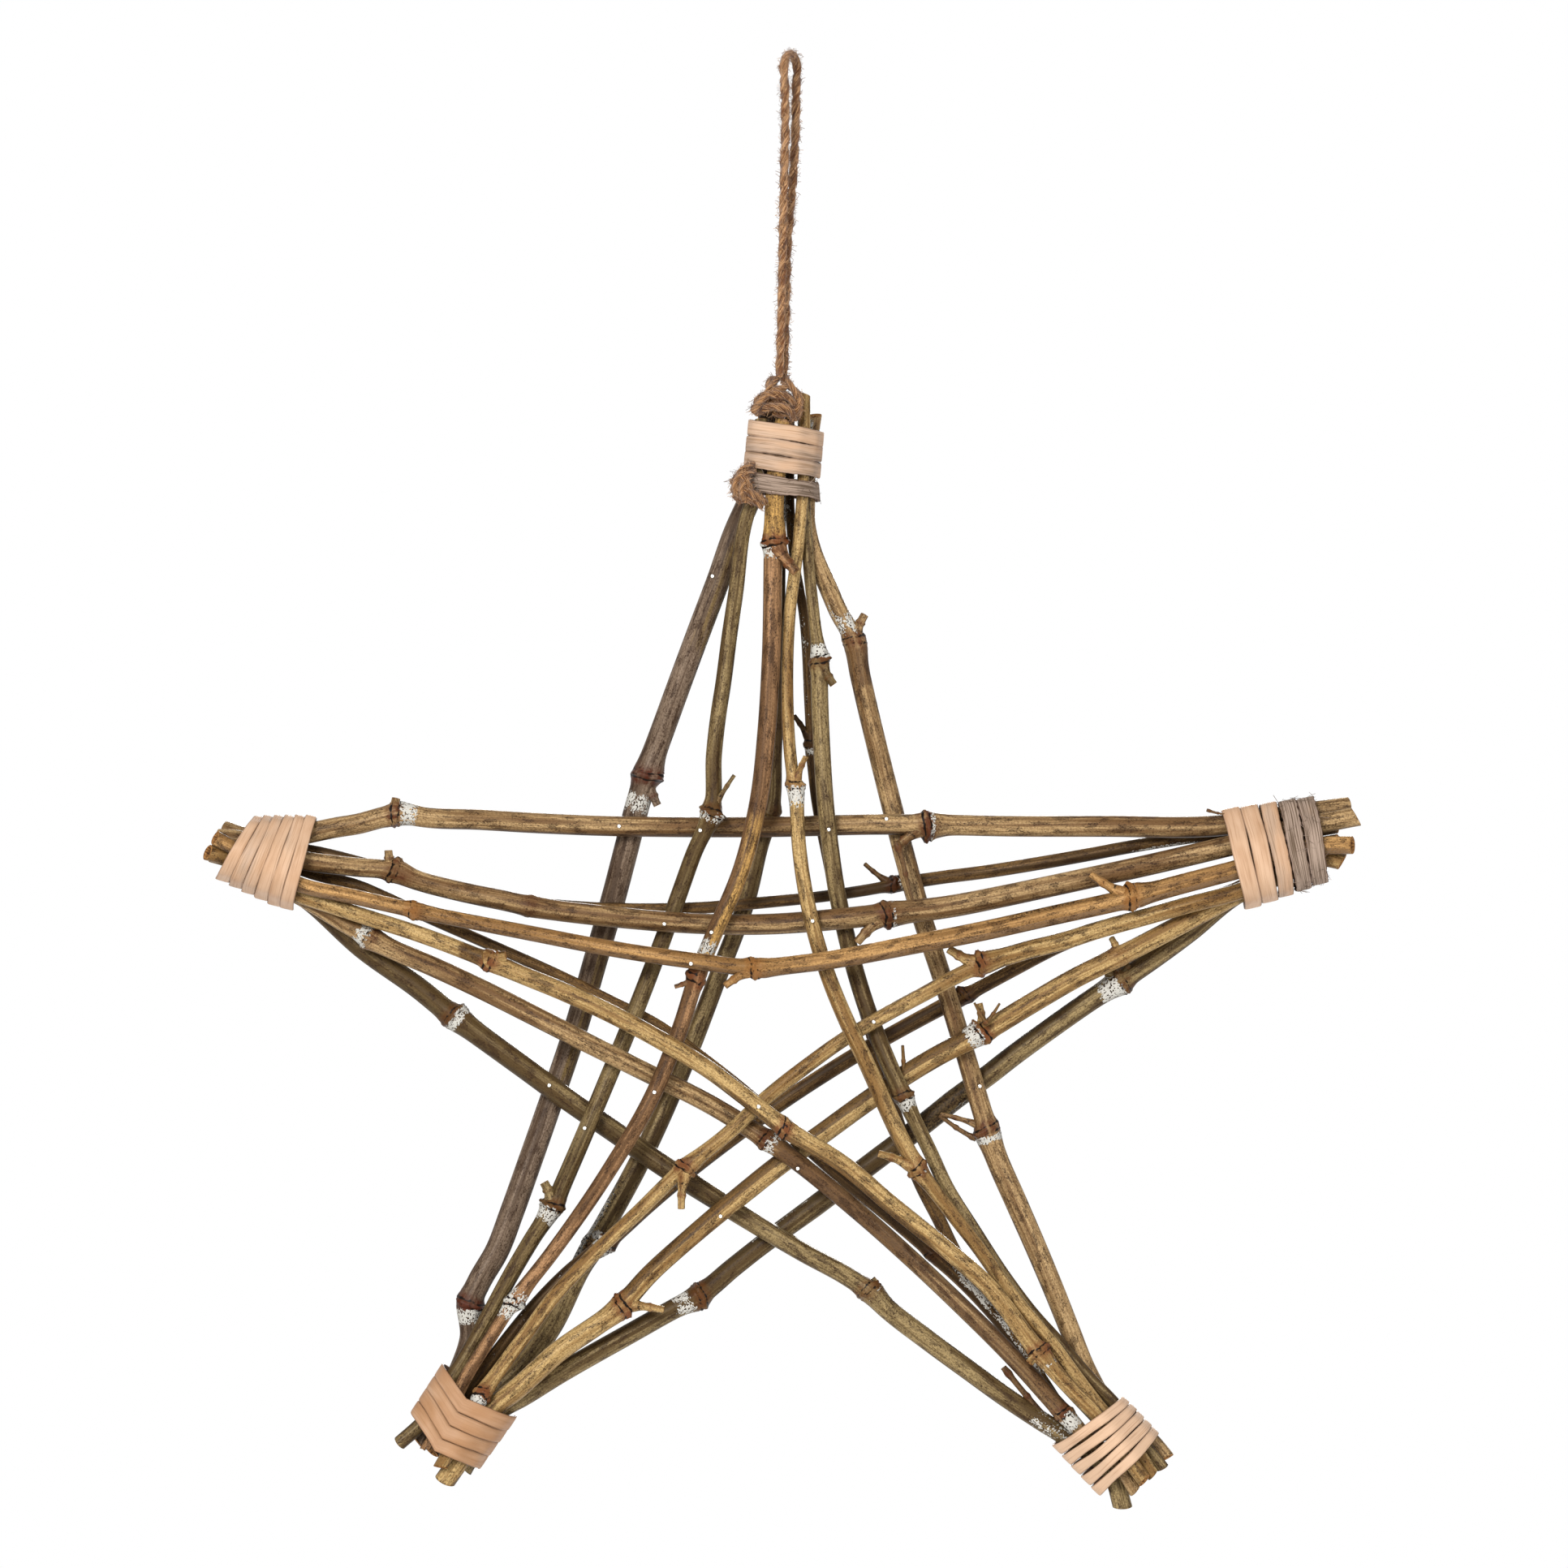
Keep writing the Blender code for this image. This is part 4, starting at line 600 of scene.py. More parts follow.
def grown_values(tree, lay, grains, marks, rules):
    """A finish's values by name: its grains, the mesh's marks, and the rules on them.

    Each grain has its size across and along in metres, and its detail.
    """
    values = {}
    for name, across, along, detail in grains:
        sizes = {0: lay, "Scale": (1 / across, 1 / across, 1 / along)}
        sized = add(tree, "ShaderNodeMapping", sizes)
        values[name] = add(tree, "ShaderNodeTexNoise", {0: sized, "Scale": 1.0, "Detail": detail})
    for name in marks:
        values[name] = add(tree, "ShaderNodeAttribute", attribute_name=name).outputs["Fac"]
    return worked_out(tree, values, rules)


def layered(tree, values, skin, *layers):
    """The skin colour under other colours, each as the value that spreads it and its colour."""
    for share, colour in layers:
        sides = [linear(side) if isinstance(side, str) else side for side in (skin, colour)]
        given = {0: values[share], 6: sides[0], 7: sides[1]}
        skin = add(tree, "ShaderNodeMix", given, data_type="RGBA")
    return skin


def close_finish(tree, values, skin, strength, depth, **more):
    """Ends a finish: its colour, roughness and relief go to one shader, which barely mirrors."""
    relief = {"Strength": strength, "Distance": depth, "Height": values["height"]}
    bump = add(tree, "ShaderNodeBump", relief)
    shader = add(tree, "ShaderNodeBsdfPrincipled", {
        "Base Color": skin, "Roughness": values["rough"], "Normal": bump,
        "Specular IOR Level": 0.06,
    } | more)
    add(tree, "ShaderNodeOutputMaterial", {0: shader})


# Bamboo, dried and left unvarnished: a hard waxy skin with a satin shine, fine fibres along the
# stalk, dark mildew flecks drawn out the same way, red-brown collars and white frost at the joints.
# Each tone has its dull colour, its clear colour, the colour of its second side and its collars'.
BAMBOO = {
    "olive": ("#3a2c18", "#726142", "#2c2212", "#42260f"),
    "tan": ("#4e3821", "#89714f", "#37261a", "#3d1f0f"),
    "yellow": ("#5c4324", "#90784f", "#3a2915", "#52301a"),
    "orange": ("#604526", "#8f6e45", "#554230", "#66421f"),
    "mauve": ("#372a1f", "#615244", "#564526", "#37180c"),
    "russet": ("#47321f", "#7b5c3f", "#94733f", "#4e2a14"),
    "dark": ("#2e2112", "#5e4628", "#1d140b", "#30190a"),
}
FLECK = "#201208"
FROST = "#918e87"
SOOT_AND_SHADE = "#0d0704"
CUT = "#7d5831"
PORE = "#442710"

BAMBOO_GRAINS = (
    ("cloud", 0.010, 0.070, 2), ("fibre", 0.00055, 0.018, 3), ("vein", 0.0016, 0.060, 2),
    ("stain", 0.0020, 0.006, 3), ("fleck", 0.00035, 0.0007, 2), ("grain", 0.0007, 0.0007, 2),
    ("speck", 0.0005, 0.0008, 1),
)
BAMBOO_RULES = (
    ("broad", "ADD", "cloud", "vein"), ("light", "RAMP", "broad", 0.80, 1.16, 0, 1),
    ("sway", "SUBTRACT", "vein", 0.5), ("turned", "ADD", "tone", "sway"),
    ("second", "RAMP", "turned", 0.35, 0.65, 0, 0.9),
    ("line", "RAMP", "fibre", 0.34, 0.54, 0.65, 0),
    ("stained", "RAMP", "stain", 0.50, 0.66, 0, 0.55),
    ("crowd", "RAMP", "stain", 0.40, 0.60, 0.35, 1), ("dots", "RAMP", "fleck", 0.51, 0.62, 0, 0.85),
    ("flecks", "MULTIPLY", "dots", "crowd"),
    ("worn", "RAMP", "stain", 0.35, 0.6, 0.45, 1), ("reddened", "MULTIPLY", "collar", "worn"),
    ("patch", "ADD", "grain", "stain"), ("patch", "SUBTRACT", "patch", 1),
    ("patch", "MULTIPLY", "patch", 2.4), ("patch", "MULTIPLY", "patch", "frost"),
    ("dust", "ADD", "frost", "patch"),
    ("frosted", "RAMP", "dust", 0.46, 0.58, 0, 1), ("specks", "RAMP", "speck", 0.57, 0.61, 0, 1),
    ("pitted", "RAMP", "grain", 0.45, 0.62, 0, 1),
    ("mottled", "RAMP", "grain", 0.46, 0.60, 0, 0.45),
    ("soot_and_shade_cover", "ADD", "soot", "grain"), ("soot_and_shade_cover", "RAMP", "soot_and_shade_cover", 0.82, 1.20, 0, 1),
    ("matt", "MULTIPLY", "frosted", 0.35), ("raw", "MULTIPLY", "cut", 0.4),
    ("shine", "RAMP", "fibre", 0.3, 0.7, 0.52, 0.40), ("rough", "ADD", "matt", "raw"),
    ("rough", "ADD", "rough", "shine"),
    ("ridge", "MULTIPLY", "fibre", 0.5), ("crust", "MULTIPLY", "frosted", "grain"),
    ("height", "ADD", "ridge", "crust"),
)


def bamboo(tone):
    """Dried bamboo of one tone, under its flecks, stains, collars, frost, soot and cut wood. The
    soot layer also lays painted shade in hollow ends, joint grooves and one patch.
    """
    low, high, second, collar = BAMBOO[tone]
    made, tree = new_finish("dried_bamboo_" + tone)
    lay = add(tree, "ShaderNodeAttribute", attribute_name="lay").outputs["Vector"]
    values = grown_values(tree, lay, BAMBOO_GRAINS, MARKS, BAMBOO_RULES)
    dusty = layered(tree, values, FROST, ("specks", FLECK))
    wood = layered(tree, values, CUT, ("pitted", PORE))
    # The soot layer carries painted shade too: in hollow cut ends, joint grooves and one patch
    skin = layered(
        tree, values, low, ("light", high), ("second", second), ("line", low), ("mottled", low),
        ("stained", FLECK), ("flecks", FLECK), ("reddened", collar), ("frosted", dusty),
        ("soot_and_shade_cover", SOOT_AND_SHADE), ("cut", wood),
    )
    close_finish(tree, values, skin, 0.4, 0.0003)
    return made


def cane():
    """Split cane: the smooth peeled skin of a vine, pale salmon, with fine lengthwise fibres, and
    painted shade along the edges where its turns meet.
    """
    made, tree = new_finish("split_cane")
    lay = add(tree, "ShaderNodeAttribute", attribute_name="lay").outputs["Vector"]
    grains = (
        ("fibre", 0.00045, 0.020, 3), ("cloud", 0.0040, 0.016, 2), ("grain", 0.0005, 0.0012, 2),
    )
    values = grown_values(tree, lay, grains, ("wear", "edge", "pale"), (
        ("clear", "ADD", "cloud", "pale"), ("light", "RAMP", "clear", 0.45, 1.4, 0, 1),
        ("line", "RAMP", "fibre", 0.30, 0.52, 0.45, 0),
        ("aged", "RAMP", "fibre", 0.35, 0.60, 0, 1), ("sway", "SUBTRACT", "cloud", 0.5),
        ("turned", "ADD", "wear", "sway"), ("grey", "RAMP", "turned", 0.15, 0.75, 0, 1),
        ("edge_shade", "MULTIPLY", "edge", 0.6), ("rough", "RAMP", "wear", 0.1, 0.9, 0.45, 0.85),
        ("depth", "RAMP", "wear", 0.1, 0.9, 0.4, 1.5), ("height", "MULTIPLY", "fibre", "depth"),
        ("fine", "MULTIPLY", "grain", 0.1), ("height", "ADD", "height", "fine"),
    ))
    old = layered(tree, values, "#46392d", ("aged", "#79695d"))
    # The darkest layer, on the strip's edges, is painted shade where the turns meet
    skin = layered(
        tree, values, "#7d5d42", ("light", "#9c826b"), ("line", "#6c4d33"), ("grey", old),
        ("edge_shade", "#371a0d"),
    )
    close_finish(tree, values, skin, 0.4, 0.0003)
    return made


def jute(name, low, high, hollow):
    """Jute twine: coarse matt fibres, twisted, darkened with painted shade where the two strands
    meet.
    """
    made, tree = new_finish(name)
    run = add(tree, "ShaderNodeAttribute", attribute_name="run").outputs["Fac"]
    around = add(tree, "ShaderNodeAttribute", attribute_name="round").outputs["Vector"]
    across, up, _ = add(tree, "ShaderNodeSeparateXYZ", {0: around}).outputs
    lay = add(tree, "ShaderNodeCombineXYZ", {0: across, 1: up, 2: run})
    grains = (("fibre", 0.00026, 0.0036, 3), ("cloud", 0.0016, 0.0060, 2))
    values = grown_values(tree, lay, grains, (), (
        ("light", "RAMP", "fibre", 0.43, 0.57, 0, 1),
        ("dull", "RAMP", "cloud", 0.48, 0.62, 0, 0.85),
        ("rough", "RAMP", "cloud", 0, 1, 0.9, 0.8), ("height", "MULTIPLY", "fibre", 1),
    ))
    # Painted shade: the twine is darkened to the hollow colour where the two strands meet
    reach = add(tree, "ShaderNodeMath", {0: across}, operation="ABSOLUTE")
    values["furrow"] = add(tree, "ShaderNodeMapRange", {0: reach, 1: 0, 2: 0.0007, 3: 0.5, 4: 0})
    skin = layered(tree, values, low, ("light", high), ("dull", low), ("furrow", hollow))
    close_finish(tree, values, skin, 1.0, 0.0006, **{"Sheen Weight": 0.15, "Sheen Roughness": 0.5})
    return made


def brad_steel():
    """Bright drawn steel wire, as brads are made of, with faint rust spots."""
    made, tree = new_finish("drawn_steel")
    where = add(tree, "ShaderNodeTexCoord").outputs["Object"]
    values = grown_values(tree, where, (("spot", 0.0003, 0.0003, 2),), (), (
        ("rust", "RAMP", "spot", 0.60, 0.72, 0, 0.5),
        ("rough", "RAMP", "spot", 0.4, 0.7, 0.22, 0.45),
    ))
    skin = layered(tree, values, "#dcdad4", ("rust", "#8a6a52"))
    shader = add(tree, "ShaderNodeBsdfPrincipled", {
        "Base Color": skin, "Roughness": values["rough"], "Metallic": 1.0,
    })
    add(tree, "ShaderNodeOutputMaterial", {0: shader})
    return made


def white_paper():
    """White paper, matt and plain, which the floor is laid with."""
    made, tree = new_finish("white_paper")
    look = {"Base Color": linear("#fafafa"), "Roughness": 0.9}
    shader = add(tree, "ShaderNodeBsdfPrincipled", look)
    add(tree, "ShaderNodeOutputMaterial", {0: shader})
    return made


class Shell:
    """Closed bodies made of rings of points, gathered into one mesh with numbers at each point."""

    def __init__(self, marks):
        self.points = []
        self.faces = []
        self.lay = []
        self.marks = {name: [] for name in marks}
        self.count = 0

    def add(self, rings, lay, **marks):
        """Adds one body from rings (rows, points, 3), with its lay vector and its numbers."""
        rows, around = rings.shape[:2]
        middle = rings.mean(axis=1, keepdims=True)[:-1]
        side = np.roll(rings, -1, axis=1)
        normal = np.cross(side[1:] - rings[:-1], rings[1:] - side[:-1])
        out = (normal * (rings[:-1] - middle)).sum() > 0
        index = self.count + np.arange(rows * around).reshape(rows, around)
        nxt = np.roll(index, -1, axis=1)
        quads = np.stack([index[:-1], nxt[:-1], nxt[1:], index[1:]], axis=2).reshape(-1, 4)
        first, last = index[0][::-1], index[-1]
        if not out:
            quads, first, last = quads[:, ::-1], first[::-1], last[::-1]
        self.faces += [*quads.tolist(), first.tolist(), last.tolist()]
        self.points.append(rings.reshape(-1, 3))
        self.lay.append(np.broadcast_to(lay, rings.shape).reshape(-1, 3))
        for name, values in self.marks.items():
            wanted = marks.get(name, 0.0)
            values.append(np.broadcast_to(wanted, (rows, around)).reshape(-1))
        self.count += rows * around

    def finish(self, name, finish):
        """The whole as one object with its material."""
        mesh = bpy.data.meshes.new(name)
        mesh.from_pydata(np.concatenate(self.points), [], self.faces)
        lay = mesh.attributes.new("lay", "FLOAT_VECTOR", "POINT")
        lay.data.foreach_set("vector", np.concatenate(self.lay).astype(np.float32).ravel())
        for key, values in self.marks.items():
            made = mesh.attributes.new(key, "FLOAT", "POINT")
            made.data.foreach_set("value", np.concatenate(values).astype(np.float32))
        mesh.materials.append(finish)
        mesh.shade_smooth()
        return put(name, mesh)


def settle_piece(piece, slot, *nodes):
    """The piece rides on the one body and stands for CAD nodes, which are hidden; slot is not used.
    """
    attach(piece, "root")
    if nodes:
        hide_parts(*nodes)
    return piece


def tree_of(node):
    """A tree of the CAD node's faces, to find where lines meet them."""
    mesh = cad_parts[node].data
    return BVHTree.FromPolygons([v.co for v in mesh.vertices], [p.vertices for p in mesh.polygons])


def depths_of(node, line, along, radius):
    """How deep the CAD stalk's middle lies at each point of the line."""
    tree = tree_of(node)
    found = []
    for at in np.arange(PROBE_MARGIN, along[-1] - PROBE_MARGIN, PROBE_STEP):
        x, z = (np.interp(at, along, line[:, k]) for k in (0, 1))
        front = tree.ray_cast((x, -1, z), (0, 1, 0))[0]
        back = tree.ray_cast((x, 1, z), (0, -1, 0))[0]
        if not front:
            continue
        if ONE_STALK[0] < (back.y - front.y) / np.interp(at, along, radius) < ONE_STALK[1]:
            found.append((at, (front.y + back.y) / 2))
    places, depths = np.array(found).T
    fine = np.interp(along, places, depths)
    window = np.exp(-(np.arange(-SMOOTH_REACH, SMOOTH_REACH + 1) / SMOOTH_HALF) ** 2)
    edge = np.concatenate([
        2 * fine[0] - fine[SMOOTH_REACH:0:-1], fine, 2 * fine[-1] - fine[-2:-SMOOTH_REACH - 2:-1],
    ])
    return np.convolve(edge, window / window.sum(), "valid")


def steps_along(total, joints):
    """Where the rings lie: close together at the joints and at both ends."""
    at = [0.0]
    while at[-1] < total - FINE_STEP:
        near = min(abs(at[-1] - spot) for spot in (*joints, 0.0, total))
        at.append(at[-1] + np.interp(near, [FINE_REACH, 2 * FINE_REACH], [FINE_STEP, LONG_STEP]))
    return np.array([*at[:-1], total])


def sides_of(points, at):
    """The unit tangent, the side that faces the front and the one square to both, along a line."""
    tangents = np.gradient(points, at, axis=0)
    tangents /= np.linalg.norm(tangents, axis=1)[:, None]
    fronts = np.array([0.0, -1.0, 0.0]) + tangents * tangents[:, 1:2]
    fronts /= np.linalg.norm(fronts, axis=1)[:, None]
    return tangents, fronts, np.cross(fronts, tangents)


def rings_round(points, fronts, ups, radii, turn):
    """Rings of points round a line, at the given radii and angles from its front."""
    return points[:, None] + radii[:, :, None] * (
        np.cos(turn)[:, :, None] * fronts[:, None] + np.sin(turn)[:, :, None] * ups[:, None]
    )


def lay_round(radii, turn, run):
    """Where each point lies in the grain: across, up and along."""
    return np.stack(np.broadcast_arrays(radii * np.cos(turn), radii * np.sin(turn), run), axis=2)


def capped(rings, lay, marks, way_in, ends, first):
    """The rings with a cut end's rings before the first one or after the last one."""
    end = 0 if first else -1
    middle = rings[end].mean(axis=0)
    rows, lays = [], []
    news = {name: [] for name in marks}
    for share, depth, cut, soot in ends:
        rows.append(middle + share * (rings[end] - middle) + depth * way_in)
        lays.append(lay[end] * (share, share, 1))
        wanted = {"cut": cut, "soot": soot, "frost": 0, "collar": 0}
        for name, values in marks.items():
            news[name].append(np.full_like(values[end], wanted.get(name, values[end])))

    def joined(old, new):
        return np.concatenate([new[::-1], old] if first else [old, new])

    return joined(rings, rows), joined(lay, lays), {n: joined(marks[n], news[n]) for n in marks}


def add_tube(shell, points, radii, sides, shift, ends, slant, **marks):
    """A tapered round body along a line, cut off at its far end, its cut slanting."""
    at = lengths_along(points)
    _, fronts, ups = sides_of(points, at)
    turn = 2 * math.pi * np.arange(sides)[None, :] / sides
    rings = rings_round(points, fronts, ups, radii[:, None], turn)
    way = points[-1] - points[-2]
    way /= np.linalg.norm(way)
    leans = slant * np.array([0.3, 0.7, 1.0])[:, None, None] * radii[-1]
    rings[-3:] += leans * np.cos(turn)[:, :, None] * way
    lay = lay_round(radii[:, None], turn, at[:, None] + shift)
    held = {}
    for name in MARKS:
        held[name] = np.broadcast_to(marks.get(name, 0.0), rings.shape[:2]).astype(float)
    rings, lay, held = capped(rings, lay, held, -way, ends, False)
    shell.add(rings, lay, **held)


def add_shoot(shell, root, way, thick, lead, shift):
    """A cut-off side shoot: it swells at its root, turns towards lead and has a ring of its own."""
    length = np.linalg.norm(way)
    way = way / length
    at = np.linspace(0, 1, SHOOT_RINGS)
    points = root + length * at[:, None] * way + 0.12 * length * (at * (1 - at))[:, None] * lead
    swell = 0.95 * bump_at(at, 0.12, 0.26) + 0.22 * bump_at(at, 0.66, 0.06)
    width = thick / 2 * (0.95 - 0.10 * at + swell)
    collar = (0.4 * bump_at(at, 0.25, 0.2) + 0.7 * bump_at(at, 0.68, 0.06))[:, None]
    soot = (0.6 * bump_at(at, 0.40, 0.05) + 0.6 * bump_at(at, 0.69, 0.03))[:, None]
    ends = SOLID_END if thick < HOLLOW_SHOOT else CUT_END
    size = min(1, thick / SHOOT_CUT)
    ends = tuple((share, depth * size, cut, dark) for share, depth, cut, dark in ends)
    marks = {"collar": collar, "soot": soot, "tone": 0.15}
    add_tube(shell, points, width, SHOOT_SIDES, shift, ends, 0.35, **marks)


def add_twig(shell, twig, line, path, number):
    """A thin twig that lies beside its stalk, with small rings of its own."""
    flat = smooth_line([place(*p) for p in twig.route], TWIG_STEP)
    depth = path[nearest(line, twig.route[0])][1] - twig.lift * SQUARE
    points = np.stack([flat[:, 0], np.full(len(flat), depth), flat[:, 1]], axis=1)
    share = np.linspace(0, 1, len(points))
    radii = np.interp(share, [0, 1], twig.thick) * SQUARE / 2
    knots = bump_at(share, 0.12, 0.06) + bump_at(share, 0.55, 0.04)
    marks = {"collar": 0.7 * knots[:, None], "tone": 0.6}
    radii = radii * (1 + 0.35 * knots)
    shift = number * GRAIN_SHIFT + TWIG_SHIFT
    add_tube(shell, points, radii, TWIG_SIDES, shift, SOLID_END[-3:], 0.4, **marks)


class Skin:
    """A stalk's skin: how far it stands out from the middle, and its marks, round each ring."""

    def __init__(self, at, radii, phase):
        self.at, self.base, self.phase = at[:, None], radii[:, None], phase
        self.turn = 2 * math.pi * np.arange(SIDES)[None, :] / SIDES
        slow = 0.012 * np.sin(self.at / 0.019 + phase)
        oval = 0.014 * np.sin(2 * self.turn + self.at / 0.06 + phase)
        self.around = self.base * (1 + slow + oval)
        self.marks = {name: np.zeros(self.around.shape) for name in MARKS}

    def mark(self, name, values):
        """Marks the skin where the values are more than what it has."""
        self.marks[name] = np.maximum(self.marks[name], values)

    def add_joint(self, joint, spot, radius):
        """A joint's flare, scar, wrinkles, lumps and collar, and the frost and groove beside it.
        The groove is also darkened with painted shade.

        The shares are of the joint's rise or of the radius, and the waves' lengths are in metres.
        """
        look, turn, phase = joint.look, self.turn, self.phase
        off_bud = turn - math.radians(look.bud)
        onward = (self.at - spot) * look.grow
        away = onward + 0.0007 * np.cos(off_bud)
        away = away + 0.00022 * np.sin(3 * turn + phase) + 0.00012 * np.sin(7 * turn + 2 * phase)
        lump = np.sin(4 * turn + away / 0.0011 + phase) * bump_at(away, *LUMPS)
        ripple = np.sin(away / 0.00022 + 2 * np.sin(3 * turn + phase))
        wrinkle = ripple * bump_at(away, *WRINKLES)
        flare, scar = fade_from(away, FLARE), fade_from(away, SCAR)
        swell = 0.68 * flare + 0.36 * scar + 0.10 * wrinkle + 0.18 * lump
        uneven = 1 + 0.34 * np.cos(off_bud) + 0.10 * np.sin(5 * turn + phase)
        collar = bump_at(away, *COLLAR)
        crust = np.sin(5 * turn + away / 0.0007 + phase)
        crust = crust * np.sin(3 * turn - away / 0.0010 + 2 * phase)
        crust = np.clip(crust, 0, 1) * collar * look.collar
        self.around = self.around + (joint.swell - 1) * radius * swell * uneven
        self.around = self.around + 0.10 * self.base * crust
        reddened = look.collar * (1.2 * collar + 0.5 * bump_at(away, *COLLAR_RIM))
        dark = 0.85 * bump_at(away, *DARK_RING) + 0.62 * bump_at(away, *DARK_SEAM)
        self.mark("collar", np.minimum(reddened, 1))
        self.mark("soot", look.collar * dark + 0.6 * np.sqrt(crust))
        if look.frost:
            middle, half, amount = look.frost
            fade = bump_at(self.at, spot + middle * SQUARE, 1.15 * half * SQUARE)
            self.mark("frost", min(1, 1.2 * amount) * fade)
        if look.groove:
            groove = window_at(onward / look.groove, 0.03, 0.75, 0.5)
            groove = groove * np.exp((np.cos(off_bud) - 1) / 0.10)
            self.around = self.around - 0.16 * self.base * groove
            # Painted shade: the sunk groove is darkened as if shaded
            self.mark("soot", 0.25 * groove**3)

    def add_patch(self, patch, start, end):
        """A patch's mark from start to end, all round or on one side."""
        side = np.cos(self.turn - math.radians(patch.side)) - math.cos(math.radians(patch.half))
        whole = patch.half == 180
        face = 1.0 if whole else np.clip(0.5 + side / 0.35, 0, 1)
        held = window_at(self.at, start, end, PATCH_FADE[0] if whole else PATCH_FADE[1])
        self.mark(patch.kind, held * face * patch.amount)


def build_stalk(stalk, number, finish):
    """One stalk with its joints, grooves, side shoots, twigs, frost and cut ends."""
    line = smooth_line([place(*p) for p in stalk.route], ROUTE_STEP)
    along = lengths_along(line)
    total = along[-1]
    spots = [along[nearest(line, joint.at)] for joint in stalk.joints]
    places = [spot + side * JOINT_HALF for spot in sorted(spots) for side in (-1, 1)]
    radius = np.interp(along, [0, *places, total], stalk.thick) * SQUARE / 2
    depth = depths_of(stalk.name, line, along, radius)
    path = np.stack([line[:, 0], depth, line[:, 1]], axis=1)
    at = steps_along(total, spots)
    points = np.stack([np.interp(at, along, column) for column in path.T], axis=1)
    tangents, fronts, ups = sides_of(points, at)
    skin = Skin(at, np.interp(at, along, radius), WAVE_SHIFT * number)
    for spot, joint in zip(spots, stalk.joints):
        skin.add_joint(joint, spot, np.interp(spot, along, radius))
    for patch in stalk.patches:
        start, end = (along[nearest(line, point)] for point in (patch.start, patch.end))
        skin.add_patch(patch, start, end)
    rings = rings_round(points, fronts, ups, skin.around, skin.turn)
    lean = 0.35 * np.cos(skin.turn - skin.phase) * skin.base[0]
    for order, sign in ((at, 1), (total - at, -1)):
        near = np.clip(1 - order / END_LEAN, 0, 1)[:, None]
        rings += (near * lean)[:, :, None] * tangents[:, None] * sign
    lay = lay_round(skin.base, skin.turn, at[:, None] + GRAIN_SHIFT * number)
    ends = CUT_END if skin.base.mean() > HOLLOW_STALK else SOLID_END
    rings, lay, marks = capped(rings, lay, skin.marks, tangents[0], ends, True)
    rings, lay, marks = capped(rings, lay, marks, -tangents[-1], ends, False)
    shell = Shell(MARKS)
    shell.add(rings, lay, **marks)
    for spot, joint in zip(spots, stalk.joints):
        k = int(np.abs(at - spot).argmin())
        lead = tangents[k] * joint.look.grow
        for shoot in joint.shoots:
            across, down = shoot.reach
            length = math.hypot(across, down) * SQUARE
            way = np.array([across * SQUARE, -shoot.forward * length, -down * SQUARE])
            shift = GRAIN_SHIFT * number + spot + SHOOT_SHIFT
            add_shoot(shell, points[k], way, shoot.thick * SQUARE, lead, shift)
    for twig in TWIGS:
        if twig.stalk == stalk.name:
            add_twig(shell, twig, line, path, number)
    return settle_piece(shell.finish(stalk.name + "_stem", finish), "bamboo", stalk.name)


